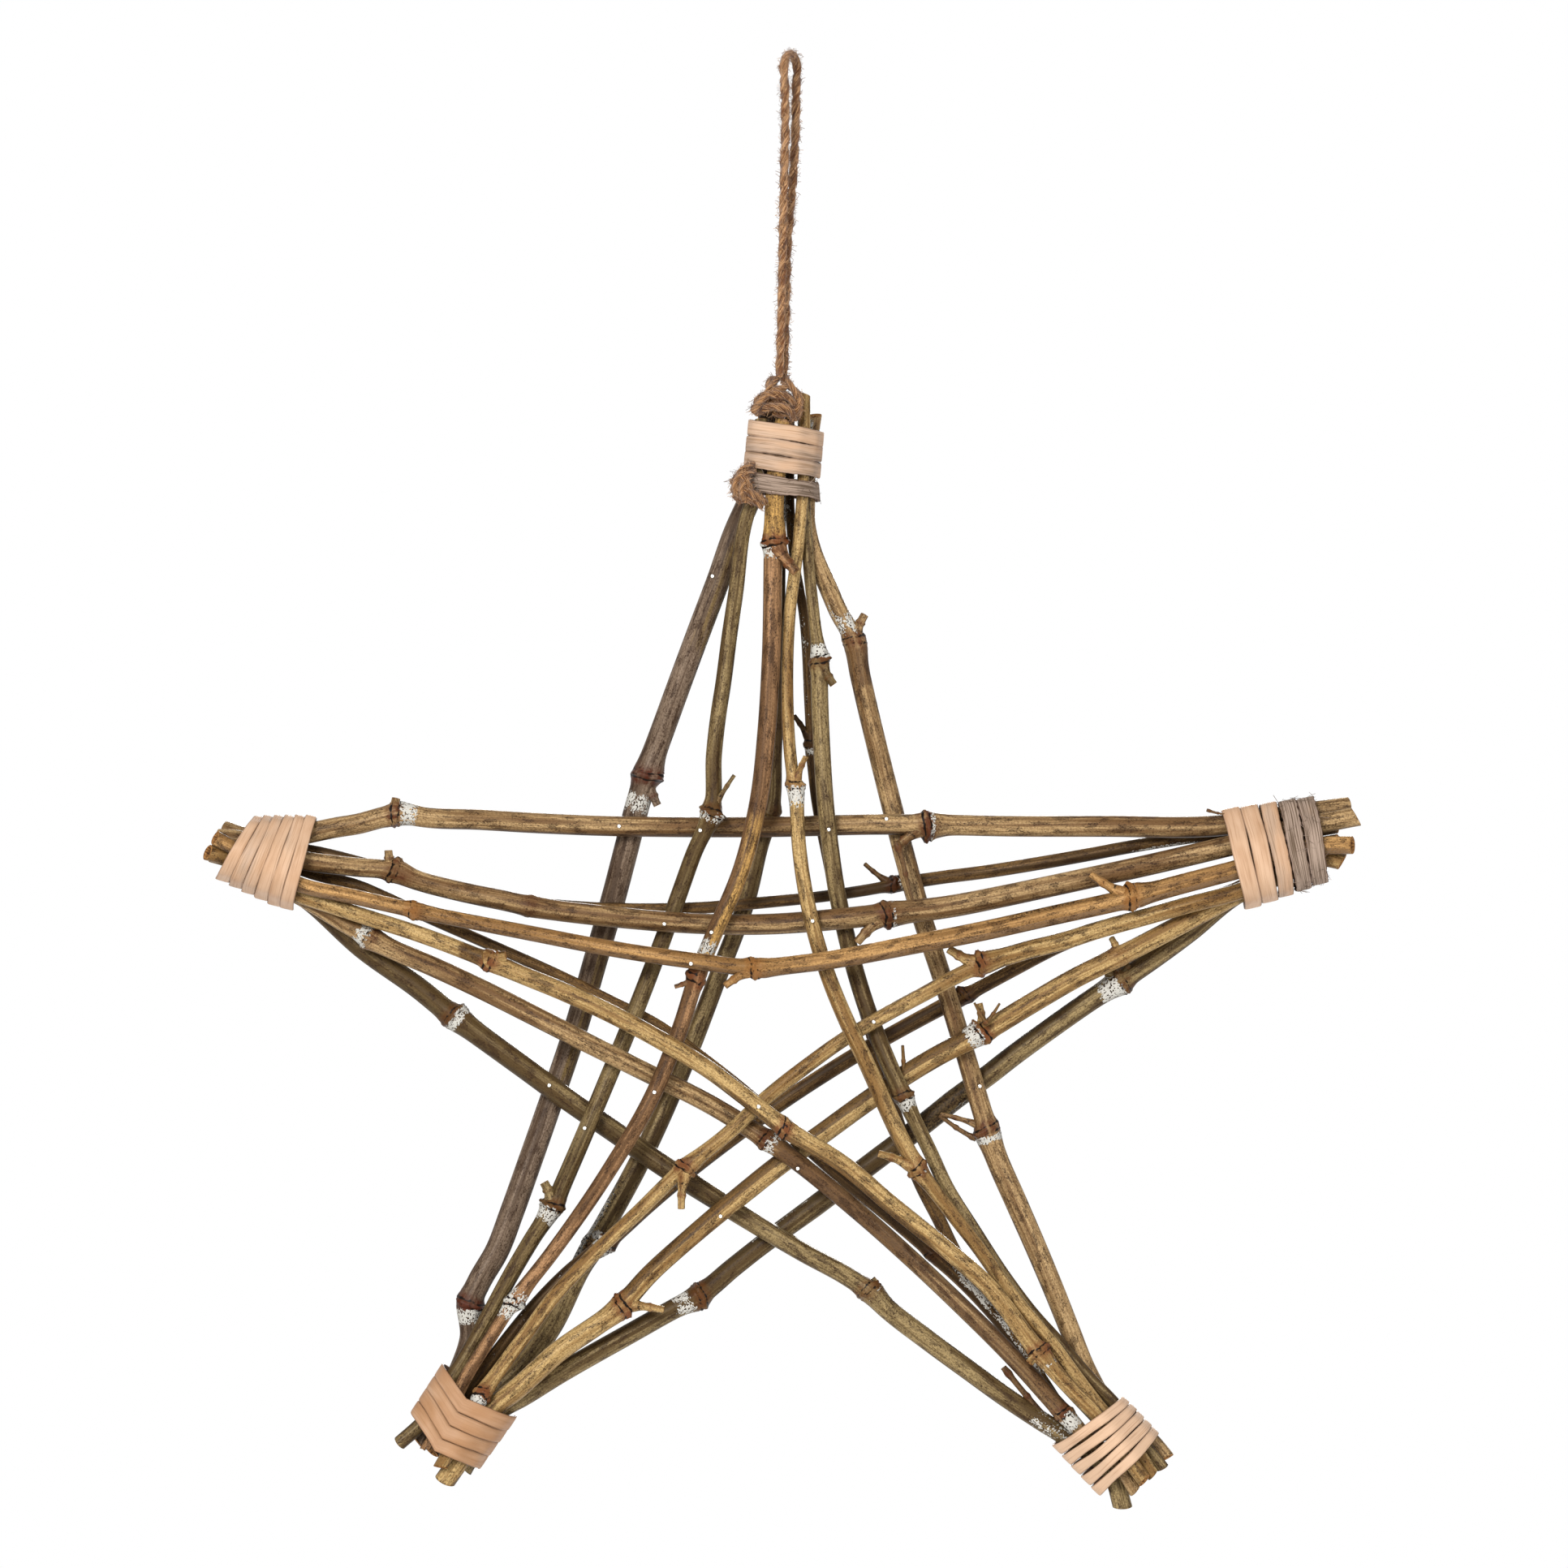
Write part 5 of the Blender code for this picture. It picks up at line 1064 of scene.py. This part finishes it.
class Sleeve:
    """A wrap's CAD sleeve as it is measured: its middle line, and how far off its skin lies."""

    def __init__(self, wrap):
        ends = (wrap.inner, wrap.outer)
        self.first, self.last = (np.array([place(*point) for point in end]) for end in ends)
        self.span = np.linalg.norm(self.last.mean(axis=0) - self.first.mean(axis=0))
        self.bow = wrap.bow * SQUARE / self.span
        low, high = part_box(wrap.name)
        self.depths = [(low.y + high.y) / 2] * 2
        self.measure(tree_of(wrap.name))

    def sag(self, angle):
        """How far the strip sags along the sleeve at this angle, as a share of the span."""
        off = np.cos(angle) - FOLD_AT
        fold = 1 - np.abs(off) / np.where(off > 0, 1 - FOLD_AT, 1 + FOLD_AT)
        return self.bow * np.where(np.sin(angle) > 0, fold, 0)

    def middle(self, share, angle):
        """The point of the middle line at a share of the span, and the way out at this angle."""
        left, right = self.first + share * (self.last - self.first)
        across = (right - left) / np.linalg.norm(right - left)
        x, z = (left + right) / 2
        depth = self.depths[0] + share * (self.depths[1] - self.depths[0])
        way = math.cos(angle) * np.array([across[0], 0, across[1]])
        return np.array([x, depth, z]), way + math.sin(angle) * np.array([0, -1, 0])

    def measure(self, tree):
        """Finds the skin from outside, twice, and moves the middle line halfway through it."""
        angles = 2 * math.pi * np.arange(WRAP_SIDES) / WRAP_SIDES
        sags = self.sag(angles)
        reach = np.empty((len(WRAP_SHARES), WRAP_SIDES))
        for _ in range(2):
            for row, share in enumerate(WRAP_SHARES):
                for k, angle in enumerate(angles):
                    middle, way = self.middle(share + sags[k], angle)
                    met = tree.ray_cast(Vector(middle + WRAP_PROBE * way), Vector(-way))[0]
                    reach[row, k] = (np.array(met) - middle) @ way if met else np.nan
            back, front = (
                np.nanmean(reach[:, half], axis=1) for half in (angles > math.pi, angles < math.pi)
            )
            slope = np.polyfit(WRAP_SHARES, (back - front) / 2, 1)
            self.depths = [depth + np.polyval(slope, k) for k, depth in enumerate(self.depths)]
        for column in reach.T:
            bad = np.isnan(column)
            column[bad] = np.interp(WRAP_SHARES[bad], WRAP_SHARES[~bad], column[~bad])
        weights = ((-2, 1), (-1, 2), (0, 3), (1, 2), (2, 1))
        self.soft = sum(w * np.roll(reach, s, axis=1) for s, w in weights) / 9

    def reach(self, share, angle):
        """How far the skin lies from the middle line, between the measured places."""
        low, high = WRAP_SHARES[0], WRAP_SHARES[-1]
        count = len(WRAP_SHARES)
        height = np.clip((share - low) / (high - low) * (count - 1), 0, count - 1.001)
        turn = angle % (2 * math.pi) / (2 * math.pi) * WRAP_SIDES % WRAP_SIDES
        row, col = int(height), int(turn)
        a, b = height - row, turn - col
        after = (col + 1) % WRAP_SIDES
        near, far = (soft[col] * (1 - b) + soft[after] * b for soft in self.soft[row:row + 2])
        return near * (1 - a) + far * a


def turn_of(wrap, step):
    """Where the strip is at a step: share of the span, lean, angle, width and wear.

    In front it runs straight across. Behind it moves on to the next turn and takes its width.
    """
    turns = len(wrap.turns)
    turn = min(step // TURN_STEPS, turns - 1)
    part = step - turn * TURN_STEPS
    angle = math.pi - 2 * math.pi * part / TURN_STEPS
    behind = np.clip((part / TURN_STEPS - 0.5) / 0.5, 0, 1)
    width, wear = wrap.turns[turn]
    next_width, next_wear = wrap.turns[min(turn + 1, turns - 1)]
    width = width + behind * (next_width - width)
    wear = wear + behind * (next_wear - wear)
    width *= 1 - wrap.gape * bump_at(angle, 0.9, 0.8)
    ragged = math.sin(17 * angle + turn) + math.sin(31 * angle) * math.sin(5 * angle + turn)
    width += 0.04 * wear * ragged
    move = behind * behind * (3 - 2 * behind) if turn < turns - 1 else 0.0
    lean = 0.03 * math.sin(2.1 * turn + 3 * angle) / turns
    return (turn + 0.5 + move) / turns, lean, angle, width, wear


def build_wrap(wrap, finish):
    """Cane strip wound round the bound stalks, over the shape of the CAD sleeve."""
    sleeve = Sleeve(wrap)
    turns = len(wrap.turns)
    pitch = sleeve.span / turns
    rows, lays, wears = [], [], []
    length = 0.0
    for step in range(turns * TURN_STEPS + 1):
        share, lean, angle, width, wear = turn_of(wrap, step)
        ring, lay = [], []
        for across, height, _ in STRIP_FORM:
            here = share + lean + 0.5 * width * across / turns
            here += float(sleeve.sag(angle))
            middle, way = sleeve.middle(here, angle)
            ring.append(middle + (sleeve.reach(share, angle) + height * STRIP_THICK) * way)
            lay.append((across * width * pitch / 2, height * STRIP_THICK))
        if rows:
            length += np.linalg.norm(np.mean(ring, axis=0) - np.mean(rows[-1], axis=0))
        rows.append(ring)
        lays.append([(*point, length) for point in lay])
        wears.append([wear])
    shell = Shell(("edge", "wear", "pale"))
    edge = np.array([edge for _, _, edge in STRIP_FORM])
    shell.add(np.array(rows), np.array(lays), edge=edge, wear=np.array(wears), pale=wrap.pale)
    return settle_piece(shell.finish(wrap.name + "_strip", finish), "cane_strip", wrap.name)


def worn_part(mesh):
    """A copy of the strip's mesh that holds only its weathered faces."""
    maker = bmesh.new()
    maker.from_mesh(mesh)
    wear = maker.verts.layers.float["wear"]
    sound = [face for face in maker.faces if min(vert[wear] for vert in face.verts) < WORN]
    bmesh.ops.delete(maker, geom=sound, context="FACES")
    part = bpy.data.meshes.new("worn_part")
    maker.to_mesh(part)
    maker.free()
    return part


def node_tree(name, *inputs):
    """A new geometry node tree with its named inputs, and the node that holds what they give."""
    tree = bpy.data.node_groups.new(name, "GeometryNodeTree")
    tree.interface.new_socket("Base", in_out="INPUT", socket_type="NodeSocketGeometry")
    for label, kind in inputs:
        tree.interface.new_socket(label, in_out="INPUT", socket_type=kind)
    tree.interface.new_socket("Shape", in_out="OUTPUT", socket_type="NodeSocketGeometry")
    return tree, tree.nodes.new("NodeGroupInput").outputs


def close_tree(tree, shape, finish):
    """Ends the tree: what it repeats is made real and given its material."""
    real = add(tree, "GeometryNodeRealizeInstances", {0: shape})
    faced = add(tree, "GeometryNodeSetMaterial", {0: real, "Material": finish})
    tree.links.new(faced.outputs[0], tree.nodes.new("NodeGroupOutput").inputs[0])
    return tree


def grown(name, base, tree, **sizes):
    """The plain mesh that a node tree makes from a base mesh, as a new object."""
    made = put(name, base)
    modifier = made.modifiers.new("make", "NODES")
    modifier.node_group = tree
    for item in tree.interface.items_tree:
        if item.in_out == "INPUT" and item.name in sizes:
            modifier[item.identifier] = sizes[item.name]
    graph = bpy.context.evaluated_depsgraph_get()
    mesh = bpy.data.meshes.new_from_object(
        made.evaluated_get(graph), depsgraph=graph, preserve_all_data_layers=True,
    )
    made.modifiers.remove(modifier)
    made.data = mesh
    return made


def twine_tree(finish):
    """Lays a two-strand twist along each line of the base."""
    tree, given = node_tree(
        "lay_twine", ("Thickness", "NodeSocketFloat"), ("Twist length", "NodeSocketFloat"),
    )
    curve = add(tree, "GeometryNodeMeshToCurve", {0: given["Base"]})
    curve = add(tree, "GeometryNodeResampleCurve", {0: curve, "Length": TWINE_STEP}, mode="LENGTH")
    run = add(tree, "GeometryNodeSplineParameter").outputs["Length"]
    place_in = add(tree, "GeometryNodeInputPosition")
    across, up, _ = add(tree, "ShaderNodeSeparateXYZ", {0: place_in}).outputs
    values = {
        "run": run, "twist": given["Twist length"], "thick": given["Thickness"],
        "across": across, "up": up,
    }
    worked_out(tree, values, (
        ("turns", "DIVIDE", "run", "twist"), ("tilt", "MULTIPLY", "turns", 2 * math.pi),
        ("half", "MULTIPLY", "thick", 0.5), ("reach", "ABSOLUTE", "across"),
        ("share", "DIVIDE", "reach", "half"), ("waist", "MULTIPLY_ADD", "share", 0.3, 0.7),
        ("flat", "MULTIPLY", "up", "waist"),
    ))
    curve = add(tree, "GeometryNodeSetCurveTilt", {0: curve, "Tilt": values["tilt"]})
    curve = add(
        tree, "GeometryNodeStoreNamedAttribute", {0: curve, "Name": "run", "Value": run},
        data_type="FLOAT", domain="POINT",
    )
    size = {"Resolution": TWINE_SIDES, "Radius": values["half"]}
    ring = add(tree, "GeometryNodeCurvePrimitiveCircle", size)
    spot = add(tree, "ShaderNodeCombineXYZ", {0: across, 1: values["flat"]})
    ring = add(tree, "GeometryNodeSetPosition", {0: ring, "Position": spot})
    here = add(tree, "GeometryNodeInputPosition")
    ring = add(
        tree, "GeometryNodeStoreNamedAttribute", {0: ring, "Name": "round", "Value": here},
        data_type="FLOAT_VECTOR", domain="POINT",
    )
    shape = add(tree, "GeometryNodeCurveToMesh", {0: curve, 1: ring, "Fill Caps": True})
    shape = add(tree, "GeometryNodeSetShadeSmooth", {0: shape})
    return close_tree(tree, shape, finish)


def fuzz_tree(finish):
    """Scatters short bent fibres over the base's skin."""
    tree, given = node_tree(
        "loose_fibres", (CROWD, "NodeSocketFloat"), ("Length", "NodeSocketFloat"),
        ("Thickness", "NodeSocketFloat"), ("Lean", "NodeSocketFloat"), ("Seed", "NodeSocketInt"),
    )
    points = add(tree, "GeometryNodeDistributePointsOnFaces", {
        0: given["Base"], "Density": given[CROWD], "Seed": given["Seed"],
    }).outputs
    arc = add(tree, "GeometryNodeCurveQuadraticBezier", {
        "Resolution": 5, "Start": (0, 0, 0), "Middle": (0.15, 0, 0.5), "End": (0.55, 0.1, 0.85),
    })
    sizes = {0: given["Thickness"], 1: given["Length"]}
    wide = add(tree, "ShaderNodeMath", sizes, operation="DIVIDE")
    ring = add(tree, "GeometryNodeCurvePrimitiveCircle", {"Resolution": 3, "Radius": wide})
    fibre = add(tree, "GeometryNodeCurveToMesh", {0: arc, 1: ring, "Fill Caps": True})
    turn = add(tree, "FunctionNodeRandomValue", {
        0: (0, 0, 0), 1: (0.4, 0.4, 6.283), "Seed": given["Seed"],
    }, data_type="FLOAT_VECTOR")
    size = add(tree, "FunctionNodeRandomValue", {
        2: 0.35, 3: 1.0, "Seed": given["Seed"],
    }, data_type="FLOAT")
    size = add(tree, "ShaderNodeMath", {0: size, 1: given["Length"]}, operation="MULTIPLY")
    lean = add(tree, "ShaderNodeCombineXYZ", {0: given["Lean"]})
    turned = points["Rotation"]
    for more in (turn, lean):
        more = {0: turned, 1: more}
        turned = add(tree, "FunctionNodeRotateRotation", more, rotation_space="LOCAL")
    made = add(tree, "GeometryNodeInstanceOnPoints", {
        0: points["Points"], "Instance": fibre, "Rotation": turned, "Scale": size,
    })
    return close_tree(tree, made, finish)


def brad_tree(finish):
    """Sets a round-headed brad at each point of the base, its head facing the front."""
    tree, given = node_tree("set_brads", ("Head", "NodeSocketFloat"), ("Shank", "NodeSocketFloat"))
    values = {"head": given["Head"], "shank": given["Shank"]}
    worked_out(tree, values, (
        ("head", "MULTIPLY", "head", 0.5), ("shank", "MULTIPLY", "shank", 0.5),
    ))
    ball = {"Segments": 16, "Rings": 8, "Radius": values["head"]}
    rod = {"Vertices": 10, "Radius": values["shank"], "Depth": BRAD_LENGTH}
    down = {"Translation": (0, 0, -BRAD_LENGTH / 2)}
    brad = tree.nodes.new("GeometryNodeJoinGeometry")
    for kind, form, change in (
        ("GeometryNodeMeshUVSphere", ball, {"Scale": (1, 1, 0.45)}),
        ("GeometryNodeMeshCylinder", rod, down),
    ):
        part = add(tree, "GeometryNodeTransform", {0: add(tree, kind, form)} | change)
        tree.links.new(part.outputs[0], brad.inputs[0])
    points = add(tree, "GeometryNodeMeshToPoints", {0: given["Base"]})
    made = add(tree, "GeometryNodeInstanceOnPoints", {
        0: points, "Instance": brad, "Rotation": (math.pi / 2, 0, 0),
    })
    made = add(tree, "GeometryNodeSetShadeSmooth", {0: made})
    return close_tree(tree, made, finish)


def lines_mesh(name, lines):
    """A mesh of bare lines, one for each run of points."""
    points, edges = [], []
    for line in lines:
        base = len(points)
        points += [tuple(p) for p in line]
        edges += [(base + k, base + k + 1) for k in range(len(line) - 1)]
    mesh = bpy.data.meshes.new(name)
    mesh.from_pydata(points, edges, [])
    return mesh


def loop_line():
    """The loop's route, as in the part's source."""
    turn = np.array([math.cos(LOOP_TURN), math.sin(LOOP_TURN), 0])
    bend_z = TWINE_THICK / 2 - LOOP_BEND
    way_down = TOUCH_GAP - LOOP_DROP - bend_z
    left, right = [], []
    for share, middle, spare in (*LOOP_STRANDS, (1, KNOT_TOP[0], 0)):
        x = (middle - TOP_MIDDLE) * SQUARE
        z = bend_z + share * way_down
        half = (TWINE_THICK + TOUCH_GAP) / 2 + spare * SQUARE
        for side, sign in ((left, -1), (right, 1)):
            side.append(np.array([x, 0, z]) + sign * half * turn)
    bend = [
        math.cos(angle) * LOOP_BEND * turn + np.array([0, 0, bend_z + math.sin(angle) * LOOP_BEND])
        for angle in np.radians(np.arange(180, -1, -30))
    ]
    return smooth_line([*left[::-1], *bend, *right], LOOP_STEP)


def build_knot(name, turns, tree, node):
    """A knot of twine that takes up the CAD knot's room."""
    low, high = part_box(node)
    middle = (low.y + high.y) / 2
    lines = []
    for rows in turns:
        spots = [(place(x, y), middle - lift * SQUARE) for x, y, lift in rows]
        lines.append(smooth_line([(x, depth, z) for (x, z), depth in spots], KNOT_LINE_STEP))
    sizes = {"Thickness": TWINE_THICK, "Twist length": KNOT_TWIST}
    piece = grown(name, lines_mesh(name, lines), tree, **sizes)
    return settle_piece(piece, "twine", node)


def build_twines(loop_finish, knot_finish):
    """The hanging loop, which is a cord, and its two knots."""
    path = loop_line()
    line = lines_mesh("hanging_loop", [smooth_line(path, LOOP_LINE_STEP)])
    sizes = {"Thickness": TWINE_THICK, "Twist length": LOOP_TWIST}
    loop = grown("hanging_loop", line, twine_tree(loop_finish), **sizes)
    knot_twine = twine_tree(knot_finish)
    top_knot = build_knot("loop_knot", TOP_KNOT_TURNS, knot_twine, "top_knot")
    settle_piece(loop, "twine", "twine_loop")
    side_knot = build_knot("crossing_knot", SIDE_KNOT_TURNS, knot_twine, "side_knot")
    return loop, top_knot, side_knot


def build_brads(finish):
    """All the brads as one piece, each with its head where its CAD node's is."""
    brads = sorted(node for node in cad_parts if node.startswith("brad_"))
    spots = []
    for low, high in (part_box(node) for node in brads):
        spots.append(((low.x + high.x) / 2, low.y + BRAD_SEAT, (low.z + high.z) / 2))
    seats = bpy.data.meshes.new("brads")
    seats.from_pydata(spots, [], [])
    piece = grown("brads", seats, brad_tree(finish), Head=BRAD_HEAD, Shank=BRAD_SHANK)
    return settle_piece(piece, "steel", *brads)


def build_fibres(twines, twine_finish, wraps, wrap_finish):
    """The hairs of the twine and the splinters of the weathered turns, which stand for no node."""
    hairs = fuzz_tree(twine_finish)
    names = ("loop_fibres", "loop_knot_fibres", "crossing_knot_fibres")
    for name, base, crowd, seed in zip(names, twines, (1500000, 1000000, 1000000), (3, 5, 7)):
        sizes = HAIRS | {CROWD: crowd, "Seed": seed}
        settle_piece(grown(name, base.data.copy(), hairs, **sizes), "twine")
    splinters = fuzz_tree(wrap_finish)
    for name, seed in (("wrap_right", 11), ("wrap_top_lower", 13)):
        base = worn_part(wraps[name].data)
        piece = grown(name + "_splinters", base, splinters, **SPLINTERS, Seed=seed)
        settle_piece(piece, "cane_strip")


def build_camera():
    """The camera, which takes in the whole sheet."""
    aim_x, aim_z = place(SHEET_SIDE / 2, SHEET_SIDE / 2)
    lens = bpy.data.cameras.new("camera")
    lens.sensor_width = SENSOR
    lens.lens = SENSOR * CAMERA_AWAY / (SHEET_SIDE * SQUARE)
    lens.clip_end = 100
    camera = put("camera", lens)
    camera.location = (aim_x, STAR_DEPTH - CAMERA_AWAY, aim_z)
    camera.rotation_euler = (math.pi / 2, 0, 0)
    bpy.context.scene.camera = camera


def build_stage():
    """A pale floor far below, white surroundings, two large soft lamps in front and one behind."""
    maker = bmesh.new()
    down = Matrix.Translation((0, 0, FLOOR))
    bmesh.ops.create_grid(maker, x_segments=1, y_segments=1, size=FLOOR_REACH, matrix=down)
    mesh = bpy.data.meshes.new("floor")
    maker.to_mesh(mesh)
    maker.free()
    mesh.materials.append(white_paper())
    put("floor", mesh)
    world = bpy.data.worlds.new("white_surroundings")
    world.use_nodes = True
    colour, strength = world.node_tree.nodes["Background"].inputs[:2]
    colour.default_value = (1, 1, 1, 1)
    strength.default_value = 1.0
    bpy.context.scene.world = world
    bpy.context.scene.view_settings.view_transform = "Standard"
    for name, spot, size, power in LAMPS:
        light = bpy.data.lights.new(name, "AREA")
        light.shape = "DISK"
        light.size = size
        light.energy = power
        lamp = put(name, light)
        lamp.location = spot
        way = Vector(LAMP_AIM) - lamp.location
        lamp.rotation_euler = way.to_track_quat("-Z", "Y").to_euler()
        lamp.visible_camera = False


def main():
    build_camera()
    build_stage()
    loop_finish = jute("jute_twine", "#523017", "#997653", "#301a0a")
    knot_finish = jute("jute_twine_dark", "#41250d", "#8d6844", "#201005")
    twines = build_twines(loop_finish, knot_finish)
    finishes = {tone: bamboo(tone) for tone in BAMBOO}
    for number, stalk in enumerate(STALKS):
        build_stalk(stalk, number, finishes[stalk.tone])
    strip = cane()
    wraps = {wrap.name: build_wrap(wrap, strip) for wrap in WRAPS}
    build_brads(brad_steel())
    build_fibres(twines, loop_finish, wraps, strip)


main()
